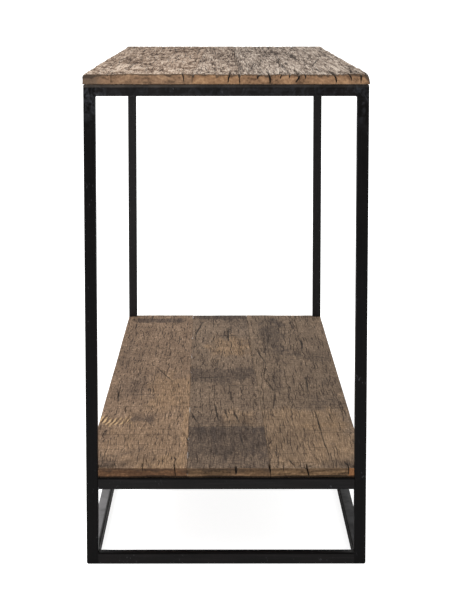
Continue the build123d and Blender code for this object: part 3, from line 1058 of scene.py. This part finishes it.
# For each top plank: seed, column step, depth of the adze steps, depth and size (along, across) of its
# lumps, pits and furrows, all in millimetres, and its number of checks
TOP_PLANKS = {
    "front": {"seed": 11, "step": 1.0, "adze": 1.3, "lump": (1.2, (120, 22)), "pit": (1.5, (46, 8.0)),
              "furrow": (1.0, (230, 10.0)), "checks": 26},
    "middle": {"seed": 23, "step": 0.7, "adze": 1.0, "lump": (1.0, (90, 12)), "pit": (1.6, (44, 4.6)),
               "furrow": (1.8, (340, 9.0)), "checks": 18},
    "back": {"seed": 37, "step": 1.08, "adze": 0.6, "lump": (1.1, (190, 9)), "pit": (1.6, (80, 4.0)),
             "furrow": (2.4, (460, 9.0)), "checks": 60},
}
TOP_TONES = {
    "front": (rgb(66, 49, 37), rgb(129, 108, 90), rgb(182, 164, 147)),
    "middle": (rgb(62, 48, 38), rgb(125, 107, 92), rgb(180, 164, 148)),
    "back": (rgb(57, 46, 38), rgb(121, 106, 93), rgb(181, 167, 153)),
}
TOP_END_TONES = {
    "front": (rgb(99, 77, 60), rgb(146, 115, 89), rgb(180, 145, 113)),
    "middle": (rgb(105, 78, 57), rgb(153, 117, 86), rgb(185, 146, 109)),
    "back": (rgb(99, 74, 55), rgb(148, 114, 85), rgb(182, 143, 108)),
}
# Length of the fine streaks, in metres
TOP_STREAKS = {"front": 0.08, "middle": 0.09, "back": 0.12}
# Wear that leaves the face flat, radii of the edges and depth of their wear, in millimetres
TOP_FLAT = 1.3
TOP_END_RADIUS = 0.8
TOP_LONG_EDGE_RADIUS = {"front": 5.0, "back": 13.0}
TOP_JOINT_RADIUS = 0.9
TOP_EDGE_WEAR = 1.2
TOP_FOOT_RADIUS = 1.3
# Parts of the top that are less worn: middle (x, y), and reach along and across, in millimetres
TOP_HIGH_PARTS = [((-690, 190), (80, 35)), ((640, 215), (160, 30))]
# Towards the far end the wear falls to this share, between these places along the table, in millimetres
FAR_WEAR = 0.6
FAR_STRETCH = (-690, -450)
# Depth and sizes (along, across) of the top's wear, in millimetres: slow waves, the length of the adze
# steps, their bends and ruffles, the patches they show in, patches of stronger furrows, and fine furrows
TOP_WAVE = 0.7
TOP_WAVE_SIZE = (260, 70)
ADZE_STEP = 170
ADZE_BEND_SIZE = (230, 46)
ADZE_RUFFLE_SIZE = (60, 18)
ADZE_PATCH_SIZE = (210, 40)
FURROW_PATCH_SIZE = (170, 45)
FINE_FURROW_SIZE = (60, 4.2)
# How deep the fine furrows are, as a share of the coarse ones, and how light the wood is off the top face
FINE_FURROW_SHARE = 0.35
PLAIN_RIDGE = 0.6
# Cracks that run out of the photographed end of the top: place across the table, half width, depth, length,
# and lean above and below the knee
TOP_END_CRACKS = [
    (-183, 0.15, 12, 12, 0.0, 0.0), (-70, 0.7, 11, 60, 0.4, 0.1), (7, 0.8, 16, 80, -0.6, -0.1),
    (56, 1.1, 5, 30, -1.4, -1.4), (67, 0.7, 17, 120, 0.7, 0.0), (90, 1.0, 9, 90, -0.8, -0.6),
    (103, 0.6, 5, 60, -0.6, -0.6), (115, 1.0, 15, 140, 0.35, -0.8), (125, 0.9, 8, 60, 0.0, 0.2),
    (168, 1.1, 17, 120, 1.2, 0.15), (194, 0.9, 7, 90, 0.8, 0.5), (214, 1.1, 18, 150, 0.0, 0.0),
]
# Worn notches where the joints reach that end, and bold cracks: start and end (x, y), half width, depth and
# darkness
TOP_STROKES = [
    ((685, -52), (702, -53), 1.6, 6.0, 1.0),
    ((680, 21), (702, 21), 1.4, 6.0, 1.0),
    ((435, -73), (698, -68), 1.2, 2.5, 0.8),
    ((-455, 21), (386, 17), 1.6, 2.0, 0.8),
    ((-61, 93), (286, 100), 1.4, 2.0, 0.9),
    ((591, 94), (698, 85), 1.2, 2.5, 0.9),
    ((535, 115), (690, 117), 1.4, 2.5, 1.0),
    ((96, 176), (407, 150), 1.7, 2.5, 1.0),
    ((554, 170), (700, 171), 1.7, 3.0, 1.0),
    ((452, 214), (690, 199), 1.5, 3.0, 1.0),
]
# Limits of the checks' length and depth, and of those of the cracks at each plank's far end, in millimetres
TOP_CHECK_LENGTHS = (80, 320)
TOP_CHECK_DEPTHS = (1.5, 4.0)
FAR_CRACK_LENGTHS = (80, 300)
FAR_CRACK_DEPTHS = (1.5, 4.0)
# The number of cracks at the far end, and their least distance from the plank's edges, in millimetres
FAR_END_CRACKS = 5
FAR_CRACK_MARGIN = 8


def top_plank(place, material):
    """A top plank, worn by slow waves, steps left by an adze, lumps, pits, furrows, checks and end cracks.

    A step is 1 minus the fraction of a bent phase along the board, so it slopes, and ends at a short wall.
    """
    plan = TOP_PLANKS[place]
    seed = plan["seed"]
    plank = Plank("top", place, plan["step"], TOP_EDGE_WEAR, TOP_FOOT_RADIUS, TOP_END_CRACKS, seed)
    X, U = plank.X, plank.straight
    waves = TOP_WAVE * (1 + layered(X, U, *TOP_WAVE_SIZE, seed, 2))
    high_parts = sum(
        np.exp(-(((X - x) / along) ** 2) - ((U - y) / across) ** 2)
        for (x, y), (along, across) in TOP_HIGH_PARTS
    )
    bends = noise(X, U, *ADZE_BEND_SIZE, seed + 40)
    phase = X / ADZE_STEP + 1.3 * bends + 0.2 * noise(X, U, *ADZE_RUFFLE_SIZE, seed + 41)
    since = phase - np.floor(phase)
    shown = np.clip(0.5 + noise(X, U, *ADZE_PATCH_SIZE, seed + 42), 0, 1)
    steps = (1 - since) * ease(since, 0, 0.06) * shown
    wall = steps * (1 - ease(since, 0.03, 0.1))
    lump, lump_size = plan["lump"]
    lumps = 0.5 + 0.5 * layered(X, U, *lump_size, seed + 43, 2)
    pit, pit_size = plan["pit"]
    pits = ease(layered(X, U, *pit_size, seed + 49, 3), 0.0, 0.7)
    furrow, furrow_size = plan["furrow"]
    strength = 0.55 + 0.45 * noise(X, U, *FURROW_PATCH_SIZE, seed + 44)
    coarse = furrows(X, U, *furrow_size, seed + 45, 5) * strength
    fine = furrows(X, U, *FINE_FURROW_SIZE, seed + 46, 4)
    wear = waves + plan["adze"] * steps + lump * lumps + pit * pits + furrow * coarse
    wear += FINE_FURROW_SHARE * furrow * fine
    wear *= FAR_WEAR + (1 - FAR_WEAR) * ease(X, *FAR_STRETCH)
    plank.depth += np.maximum(wear * (1 - 0.8 * high_parts) - TOP_FLAT, 0)
    # Weathering, dirt and painted shade: the ridge mark darkens the wood where the adze steps, their short
    # walls, lumps, pits and furrows wear it deep, and the crack mark darkens the deepest furrows
    ridge = 1.2 - 0.2 * steps - 0.9 * wall - 0.2 * lumps - 0.75 * pits - 0.75 * coarse - 0.45 * fine
    plank.marks["ridge"] = np.clip(ridge, 0, 1)
    plank.marks["crack"] += 0.35 * ease(coarse, 0.6, 0.95)
    plank.scatter_checks(plan["checks"], TOP_CHECK_LENGTHS, TOP_CHECK_DEPTHS, seed + 47)
    draw = np.random.default_rng(seed + 48)
    margin = FAR_CRACK_MARGIN
    for y in draw.uniform(plank.low_y[0] + margin, plank.high_y[0] - margin, FAR_END_CRACKS):
        reach = draw.uniform(*FAR_CRACK_LENGTHS)
        depth = draw.uniform(*FAR_CRACK_DEPTHS)
        plank.split(y, plank.low_x - PAST_END, plank.low_x + reach, depth, taper=END_TAPER)
    for stroke in TOP_STROKES:
        plank.stroke(*stroke)
    low_radius = TOP_LONG_EDGE_RADIUS["front"] if place == "front" else TOP_JOINT_RADIUS
    high_radius = TOP_LONG_EDGE_RADIUS["back"] if place == "back" else TOP_JOINT_RADIUS
    plank.round_arrises(low_radius, high_radius, TOP_END_RADIUS)
    return plank.build(f"weathered_plank_{place}", material, {"ridge": PLAIN_RIDGE})


# Planks of the shelf

# For each shelf plank: seed, column step, number of checks
SHELF_PLANKS = {"front": (51, 0.9, 60), "middle": (67, 0.85, 50), "back": (83, 0.9, 90)}
SHELF_TONES = {
    "front": (rgb(71, 55, 43), rgb(117, 95, 76), rgb(161, 134, 109)),
    "middle": (rgb(63, 51, 41), rgb(108, 90, 74), rgb(150, 127, 104)),
    "back": (rgb(66, 53, 42), rgb(110, 92, 75), rgb(152, 128, 104)),
}
SHELF_END_TONES = {
    "front": (rgb(62, 43, 31), rgb(98, 71, 51), rgb(134, 98, 70)),
    "middle": (rgb(64, 49, 35), rgb(102, 79, 58), rgb(138, 108, 80)),
    "back": (rgb(71, 54, 39), rgb(118, 93, 68), rgb(157, 126, 94)),
}
# Length of the dark ticks along the grain, in metres
SHELF_PORES = {"front": 0.035, "middle": 0.045, "back": 0.09}
# Radii of the edges and depth of their wear, in millimetres
SHELF_JOINT_RADIUS = 0.7
SHELF_END_RADIUS = 1.8
SHELF_FOOT_RADIUS = 2.8
SHELF_EDGE_WEAR = 0.6
# Depths and sizes (along, across), in millimetres: slow waves, saw marks with their distance, their bends
# and the patches that they show in, and the grain; then limits of the checks' length and depth
SHELF_WAVE = 0.4
SHELF_WAVE_SIZE = (240, 60)
SAW_STEP = 11
SAW_DEPTH = 0.25
SAW_BEND_SIZE = (60, 90)
SAW_PATCH_SIZE = (190, 70)
SHELF_GRAIN = 0.4
SHELF_GRAIN_SIZE = (70, 4.0)
SHELF_CHECK_LENGTHS = (18, 75)
SHELF_CHECK_DEPTHS = (0.8, 2.4)
# Cracks that run out of the photographed end of the shelf, as for the top
SHELF_END_CRACKS = [
    (-136, 0.3, 4, 85, 0.0, 0.0), (-84, 0.5, 14, 30, 0.1, 0.1), (16, 1.8, 7, 14, 0.0, 0.0),
    (93, 0.4, 3, 40, 0.0, 0.0), (131, 0.9, 13, 30, 0.25, 0.25), (199, 0.6, 13, 30, 0.0, 0.0),
]
# Cracks along the shelf: place across the table, start and end along it, depth
SHELF_CRACKS = [
    (-205, 90, 205, 3.0), (-185, 250, 318, 3.0), (5, -540, -400, 4.0), (165, -675, -480, 4.0),
    (60, 230, 300, 2.0),
]
# Scored lines and bold cracks on the shelf: start and end (x, y), half width, depth, darkness
SHELF_STROKES = [
    ((-100, -141), (35, -106), 2.4, 1.2, 1.0),
    ((-615, -51), (-445, -67), 2.8, 1.2, 1.0),
    ((-540, 7), (-375, 8), 2.4, 1.2, 1.0),
    ((-440, -11), (-440, 28), 7.0, 0.7, 0.9),
    ((-290, 68), (-135, 85), 1.6, 1.4, 1.0),
    ((-135, 85), (0, 77), 1.7, 1.6, 1.0),
    ((0, 77), (130, 95), 1.6, 1.6, 1.0),
    ((130, 95), (275, 88), 1.5, 1.4, 1.0),
    ((-395, 168), (-295, 167), 2.2, 1.2, 1.0),
    ((0, 161), (130, 160), 2.1, 1.2, 1.0),
    ((290, 165), (490, 168), 1.5, 1.6, 1.0),
    ((490, 168), (650, 172), 1.5, 1.6, 1.0),
    ((460, 25), (550, 28), 1.6, 1.0, 0.95),
    ((290, -66), (385, -50), 1.6, 1.4, 1.0),
    ((240, -20), (370, -13), 1.9, 1.2, 1.0),
    ((275, -2), (350, 4), 1.8, 1.2, 1.0),
    ((290, 15), (385, 24), 1.8, 1.2, 1.0),
    ((110, -208), (215, -202), 2.0, 1.2, 1.0),
    ((290, -86), (338, -82), 1.4, 0.8, 0.85),
    ((640, 104), (688, 113), 2.0, 2.0, 0.95),
    ((688, 113), (697, 128), 2.2, 2.5, 0.95),
    ((697, 128), (678, 142), 2.2, 2.5, 0.95),
    ((672, 71), (702, 71), 2.2, 7.0, 1.0),
    ((655, 197), (684, 199), 2.4, 2.5, 1.0),
    ((80, 8), (205, 10), 1.5, 1.0, 0.9),
    ((415, -66), (415, 70), 4.5, 0.6, 0.75),
    ((270, 97), (270, 231), 4.0, 0.4, 0.5),
    ((190, -68), (192, 69), 4.0, 0.4, 0.35),
    ((-208, 188), (-176, 231), 5.0, 0.5, 0.6),
    ((12, -69), (-7, 9), 7.0, 0.5, 0.7),
    ((262, -62), (264, -46), 6.0, 0.6, 0.8),
    ((75, 5), (80, 40), 5.0, 0.4, 0.5),
    ((-45, -210), (-48, -120), 4.0, 0.3, 0.3),
]
# Patches on the shelf: mark, limits along and across, strength, softness at both ends and at the sides
SHELF_PATCHES = {
    "front": [
        ("stain", (-655, -602), (-206, -98), 0.9, (8, 8), 8),
        ("stain", (0, 180), (-205, -152), 0.5, (60, 60), 14),
        ("stain", (340, 400), (-168, -128), 0.9, (25, 25), 9),
        ("torn", (345, 398), (-240, -170), 1.0, (10, 10), 6),
        ("stain", (630, 690), (-225, -165), 0.8, (25, 25), 20),
        ("stain", (590, 630), (-190, -145), 0.7, (30, 20), 16),
        ("amber", (-20, 320), (-140, -70), 0.75, (50, 60), 16),
        ("amber", (380, 690), (-215, -75), 0.4, (60, 20), 30),
        ("stain", (-330, -60), (-225, -180), 0.4, (60, 60), 20),
        ("amber", (150, 700), (-78, -66), 0.8, (60, 10), 3),
        ("amber", (610, 710), (-135, -62), 0.85, (25, 10), 14),
    ],
    "middle": [
        ("stain", (-700, -640), (-70, 70), 0.9, (4, 14), 10),
        ("amber", (-400, -215), (-35, 60), 0.9, (50, 40), 16),
        ("stain", (-85, 30), (-75, 70), 0.65, (14, 40), 12),
        ("stain", (-10, 60), (-60, 15), 0.7, (30, 30), 14),
        ("stain", (418, 490), (-80, 72), 1.0, (4, 45), 8),
        ("stain", (418, 630), (-74, 70), 0.85, (5, 55), 8),
        ("amber", (300, 405), (0, 60), 0.6, (30, 14), 14),
        ("stain", (560, 640), (-75, -40), 0.8, (30, 12), 10),
        ("stain", (350, 412), (-20, 70), 0.55, (30, 6), 18),
        ("stain", (320, 412), (-72, -25), 0.45, (30, 8), 12),
        ("stain", (-660, -480), (5, 72), 0.4, (50, 60), 12),
        ("stain", (418, 720), (-60, 70), 0.45, (5, 20), 10),
    ],
    "back": [
        ("stain", (-640, -240), (84, 130), 0.8, (70, 80), 14),
        ("stain", (160, 245), (165, 232), 0.6, (50, 25), 25),
        ("amber", (275, 690), (70, 215), 0.65, (25, 30), 22),
        ("stain", (-260, -170), (160, 228), 0.35, (30, 30), 16),
        ("stain", (-245, -205), (122, 152), 0.7, (15, 15), 10),
        ("amber", (384, 425), (130, 220), 0.95, (9, 14), 14),
        ("stain", (640, 700), (170, 225), 0.7, (25, 15), 18),
        ("stain", (560, 660), (62, 95), 0.6, (40, 40), 12),
        ("stain", (-120, 120), (88, 112), 0.5, (60, 60), 9),
        ("stain", (-20, 80), (168, 228), 0.4, (40, 40), 16),
        ("stain", (380, 670), (72, 145), 0.35, (50, 40), 22),
    ],
}


def shelf_plank(place, material):
    """A shelf plank: nearly flat, with saw marks across it, a few cracks, scored lines and stains."""
    seed, step, checks = SHELF_PLANKS[place]
    plank = Plank("shelf", place, step, SHELF_EDGE_WEAR, SHELF_FOOT_RADIUS, SHELF_END_CRACKS, seed)
    X, U = plank.X, plank.straight
    waves = SHELF_WAVE * (1 + layered(X, U, *SHELF_WAVE_SIZE, seed, 2))
    bends = noise(X, U, *SAW_BEND_SIZE, seed + 40)
    teeth = 0.5 + 0.5 * np.sin(2 * np.pi * (X / SAW_STEP + 0.6 * bends))
    saw = SAW_DEPTH * teeth * np.clip(0.2 + noise(X, U, *SAW_PATCH_SIZE, seed + 41), 0, 1)
    grain = SHELF_GRAIN * (0.5 + 0.5 * layered(X, U, *SHELF_GRAIN_SIZE, seed + 42, 3))
    plank.depth += waves + saw + grain
    for mark in ("stain", "amber", "torn"):
        plank.marks[mark] = np.zeros_like(X)
    plank.scatter_checks(checks, SHELF_CHECK_LENGTHS, SHELF_CHECK_DEPTHS, seed + 43)
    for y, start, end, depth in SHELF_CRACKS:
        if plank.holds(y):
            plank.split(y, start, end, depth)
    for stroke in SHELF_STROKES:
        plank.stroke(*stroke)
    for patch in SHELF_PATCHES[place]:
        plank.patch(*patch)
    plank.round_arrises(SHELF_JOINT_RADIUS, SHELF_JOINT_RADIUS, SHELF_END_RADIUS)
    return plank.build(f"sawn_plank_{place}", material, {})


# Weld beads

# Sizes of a bead and of a tube's rounded corner, in millimetres, and points along a bead and round its bow
WELD_LEG = 1.4
WELD_BULGE = 0.3
WELD_ROOT = 0.3
WELD_RIPPLE = 1.6
TUBE_CORNER = 1.5
WELD_STATIONS = 33
WELD_BOW_POINTS = 9
CROSS_BARS = (1, 2, 3)


def weld_bead(corner, across, up, run, length):
    """A rippled bead along one inner corner, as rings of points with shape (stations, ring, 3).

    Each ring starts at the root, just inside the metal, and then bows from one face to the other:
    p(s) = corner + g leg ((1 - s) across + s up) + 4 s (1 - s) g r bulge (across + up).
    The size g falls off at both ends of the run, and the ripples r = 0.75 + 0.25 |sin| lie along it, bent
    into arcs.
    """
    across, up, run = [np.array(way, float) for way in (across, up, run)]
    u = np.linspace(-1, 1, WELD_STATIONS)[:, None]
    s = np.linspace(0, 1, WELD_BOW_POINTS)
    size = 0.25 + 0.75 * np.sqrt(np.clip(1 - np.abs(u) ** 6, 0, 1))
    swell = 0.75 + 0.25 * np.abs(np.sin(np.pi * (u * length / 2 / WELD_RIPPLE + 1.2 * s * (1 - s))))
    flat = WELD_LEG * size[..., None] * ((1 - s)[:, None] * across + s[:, None] * up)
    bow = (4 * s * (1 - s) * WELD_BULGE * size * swell)[..., None] * (across + up)
    along = (u * length / 2)[..., None] * run
    arc = np.array(corner) + flat + bow + along
    root = np.array(corner) - WELD_ROOT * (across + up) + along
    return np.concatenate([root, arc], axis=1)


def box_mm(node):
    """The low and the high corner of a piece's box, as arrays in millimetres."""
    return [np.array(corner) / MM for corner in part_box(node)]


def weld_places(level):
    """Each bead at one level of the frame: its corner, two open directions, run and length."""
    way = 1 if level == "floor" else -1
    for end, x_sign in ENDS.items():
        rail_low, rail_high = box_mm(f"{level}_end_rail_{end}")
        open_z = rail_high[2] if way > 0 else rail_low[2]
        length = rail_high[2] - rail_low[2] - 2 * TUBE_CORNER
        rail_middle = (rail_low[2] + rail_high[2]) / 2
        for side, y_sign in SIDES.items():
            leg_low, leg_high = box_mm(f"leg_{end}_{side}")
            inner_x = leg_high[0] if x_sign < 0 else leg_low[0]
            inner_y = leg_high[1] if y_sign < 0 else leg_low[1]
            middle = (leg_low + leg_high) / 2
            yield (middle[0], inner_y, open_z), (0, -y_sign, 0), (0, 0, way), (1, 0, 0), length
            yield (inner_x, inner_y, rail_middle), (-x_sign, 0, 0), (0, -y_sign, 0), (0, 0, 1), length
            yield (inner_x, middle[1], open_z), (-x_sign, 0, 0), (0, 0, way), (0, 1, 0), length
    if level != "floor":
        for number in CROSS_BARS:
            low, high = box_mm(f"{level}_cross_bar_{number}")
            middle_x = (low[0] + high[0]) / 2
            for y, y_sign in ((low[1], -1), (high[1], 1)):
                yield (middle_x, y, low[2]), (0, -y_sign, 0), (0, 0, -1), (1, 0, 0), high[0] - low[0]


def weld_beads(level, material):
    """All the beads of one level in one mesh; each is a closed tube with flat caps."""
    points = []
    polygons = []
    count = 0
    for corner, across, up, run, length in weld_places(level):
        rings = weld_bead(corner, across, up, run, length)
        index = count + np.arange(rings.shape[0] * rings.shape[1]).reshape(rings.shape[:2])
        left_handed = np.dot(np.cross(across, up), run) < 0
        polygons += grid_quads(np.concatenate([index, index[:, :1]], axis=1), not left_handed)
        first, last = index[0].tolist(), index[-1].tolist()
        polygons += [first, last[::-1]] if left_handed else [first[::-1], last]
        points.append(rings.reshape(-1, 3))
        count += index.size
    piece = mesh_object(f"rippled_{level}_welds", np.concatenate(points), polygons, material)
    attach(piece, "root")
    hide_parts(f"{level}_weld_beads")
    return piece


# Studio

FLOOR_HALF = 400.0
FLOOR_GREY = (0.6, 0.6, 0.6, 1.0)
FLOOR_GLOW = 0.9
WHITE = (1.0, 1.0, 1.0, 1.0)
# Soft lights: place and aim, and width, in metres, and watts
LAMPS = {
    "key": ((1.4, -2.2, 3.0), (0.2, 0.0, 0.5), 1.6, 95.0),
    "fill": ((2.4, 2.4, 1.9), (0.3, 0.0, 0.4), 2.2, 22.0),
}


def studio_floor():
    """A grey floor, which glows for the camera alone, so that it shows as white."""
    mesh = bpy.data.meshes.new("studio_floor")
    corners = [(x * FLOOR_HALF, y * FLOOR_HALF, 0) for x, y in ((-1, -1), (1, -1), (1, 1), (-1, 1))]
    mesh.from_pydata(corners, [], [(0, 1, 2, 3)])
    floor = bpy.data.objects.new("studio_floor", mesh)
    bpy.context.scene.collection.objects.link(floor)
    material, tree, shader = new_material("studio_floor")
    shader["Base Color"].default_value = FLOOR_GREY
    shader["Roughness"].default_value = 1.0
    shader["Specular IOR Level"].default_value = 0.0
    shader["Emission Color"].default_value = WHITE
    seen = tree.add("LightPath").outputs["Is Camera Ray"]
    tree.put(shader["Emission Strength"], tree.times(seen, FLOOR_GLOW))
    mesh.materials.append(material)


def studio_surroundings():
    """Surroundings that the camera sees as white.

    Their light is brighter overhead, and dimmer behind the camera and on the right.
    """
    world = bpy.data.worlds.new("studio")
    world.use_nodes = True
    world.node_tree.nodes.clear()
    tree = Tree(world.node_tree)
    way = tree.split(tree.add("TexCoord").outputs["Generated"])
    overhead = tree.span(way["Z"], -0.1, 0.9, 0.3, 1.5)
    behind = tree.span(way["X"], -0.2, 0.9, 1.0, 0.35)
    beside = tree.span(way["Y"], -0.6, 0.8, 1.15, 0.75)
    strength = tree.times(overhead, behind, beside)
    light = tree.add("Background", {"Color": WHITE, "Strength": strength}).outputs[0]
    white = tree.add("Background", {"Color": WHITE, "Strength": 1.0}).outputs[0]
    seen = tree.add("LightPath").outputs["Is Camera Ray"]
    surface = tree.add("MixShader", {0: seen, 1: light, 2: white}).outputs[0]
    tree.put(tree.add("OutputWorld").inputs["Surface"], surface)
    bpy.context.scene.world = world


def studio_lamps():
    """Two soft area lights near the photographed end, the stronger one on the left."""
    for name, (place, aim, width, watts) in LAMPS.items():
        light = bpy.data.lights.new(name, "AREA")
        light.size = width
        light.energy = watts
        lamp = bpy.data.objects.new(name, light)
        lamp.location = place
        toward = np.array(aim) - np.array(place)
        tilt = math.atan2(math.hypot(toward[0], toward[1]), -toward[2])
        turn = math.atan2(toward[1], toward[0]) - math.pi / 2
        lamp.rotation_euler = (tilt, 0, turn)
        bpy.context.scene.collection.objects.link(lamp)


def photograph_camera():
    """The camera looks along -X, pitched down, with a little yaw."""
    data = bpy.data.cameras.new("photograph")
    data.sensor_width = CAMERA_SENSOR
    data.lens = CAMERA_LENS
    data.shift_y = CAMERA_SHIFT
    data.clip_end = CAMERA_REACH
    camera = bpy.data.objects.new("photograph", data)
    camera.location = CAMERA_PLACE
    camera.rotation_euler = (math.radians(90 - CAMERA_PITCH), 0, math.radians(90 - CAMERA_YAW))
    bpy.context.scene.collection.objects.link(camera)
    bpy.context.scene.camera = camera


# The whole table

# Where the grain starts in its noise: the front plank's place, and the step from plank to plank
GRAIN_SHIFTS = {"top": (0.0, 13.0), "shelf": (7.0, 11.0)}
# Height of the pith that the rings of the end grain go round, in metres
PITH_HEIGHTS = {"top": 0.73, "shelf": 0.07}


def grain_shift(level, number):
    """Where the grain of one of a level's three planks starts in its noise."""
    first, step = GRAIN_SHIFTS[level]
    return first + step * number


def pith(level, place):
    """The pith of a plank, as a place across the table and a height: below the middle of the plank."""
    middle_y = sum(corner.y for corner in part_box(f"{level}_plank_{place}")) / 2
    return middle_y, PITH_HEIGHTS[level]


paint = black_paint()
zinc = zinc_screw()
for node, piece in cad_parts.items():
    piece.data.materials.clear()
    piece.data.materials.append(zinc if node.endswith("_screws") else paint)

for number, place in enumerate(PLACES):
    top_wood = weathered_top_wood(
        f"weathered_top_wood_{place}", TOP_TONES[place], TOP_END_TONES[place], TOP_STREAKS[place],
        grain_shift("top", number), pith("top", place)
    )
    top_plank(place, top_wood)
    shelf_wood = sawn_shelf_wood(
        f"sawn_shelf_wood_{place}", SHELF_TONES[place], SHELF_END_TONES[place], SHELF_PORES[place],
        grain_shift("shelf", number), pith("shelf", place)
    )
    shelf_plank(place, shelf_wood)

for level in ("top", "shelf", "floor"):
    weld_beads(level, paint)

studio_floor()
studio_surroundings()
studio_lamps()
photograph_camera()
bpy.context.scene.view_settings.view_transform = "Standard"
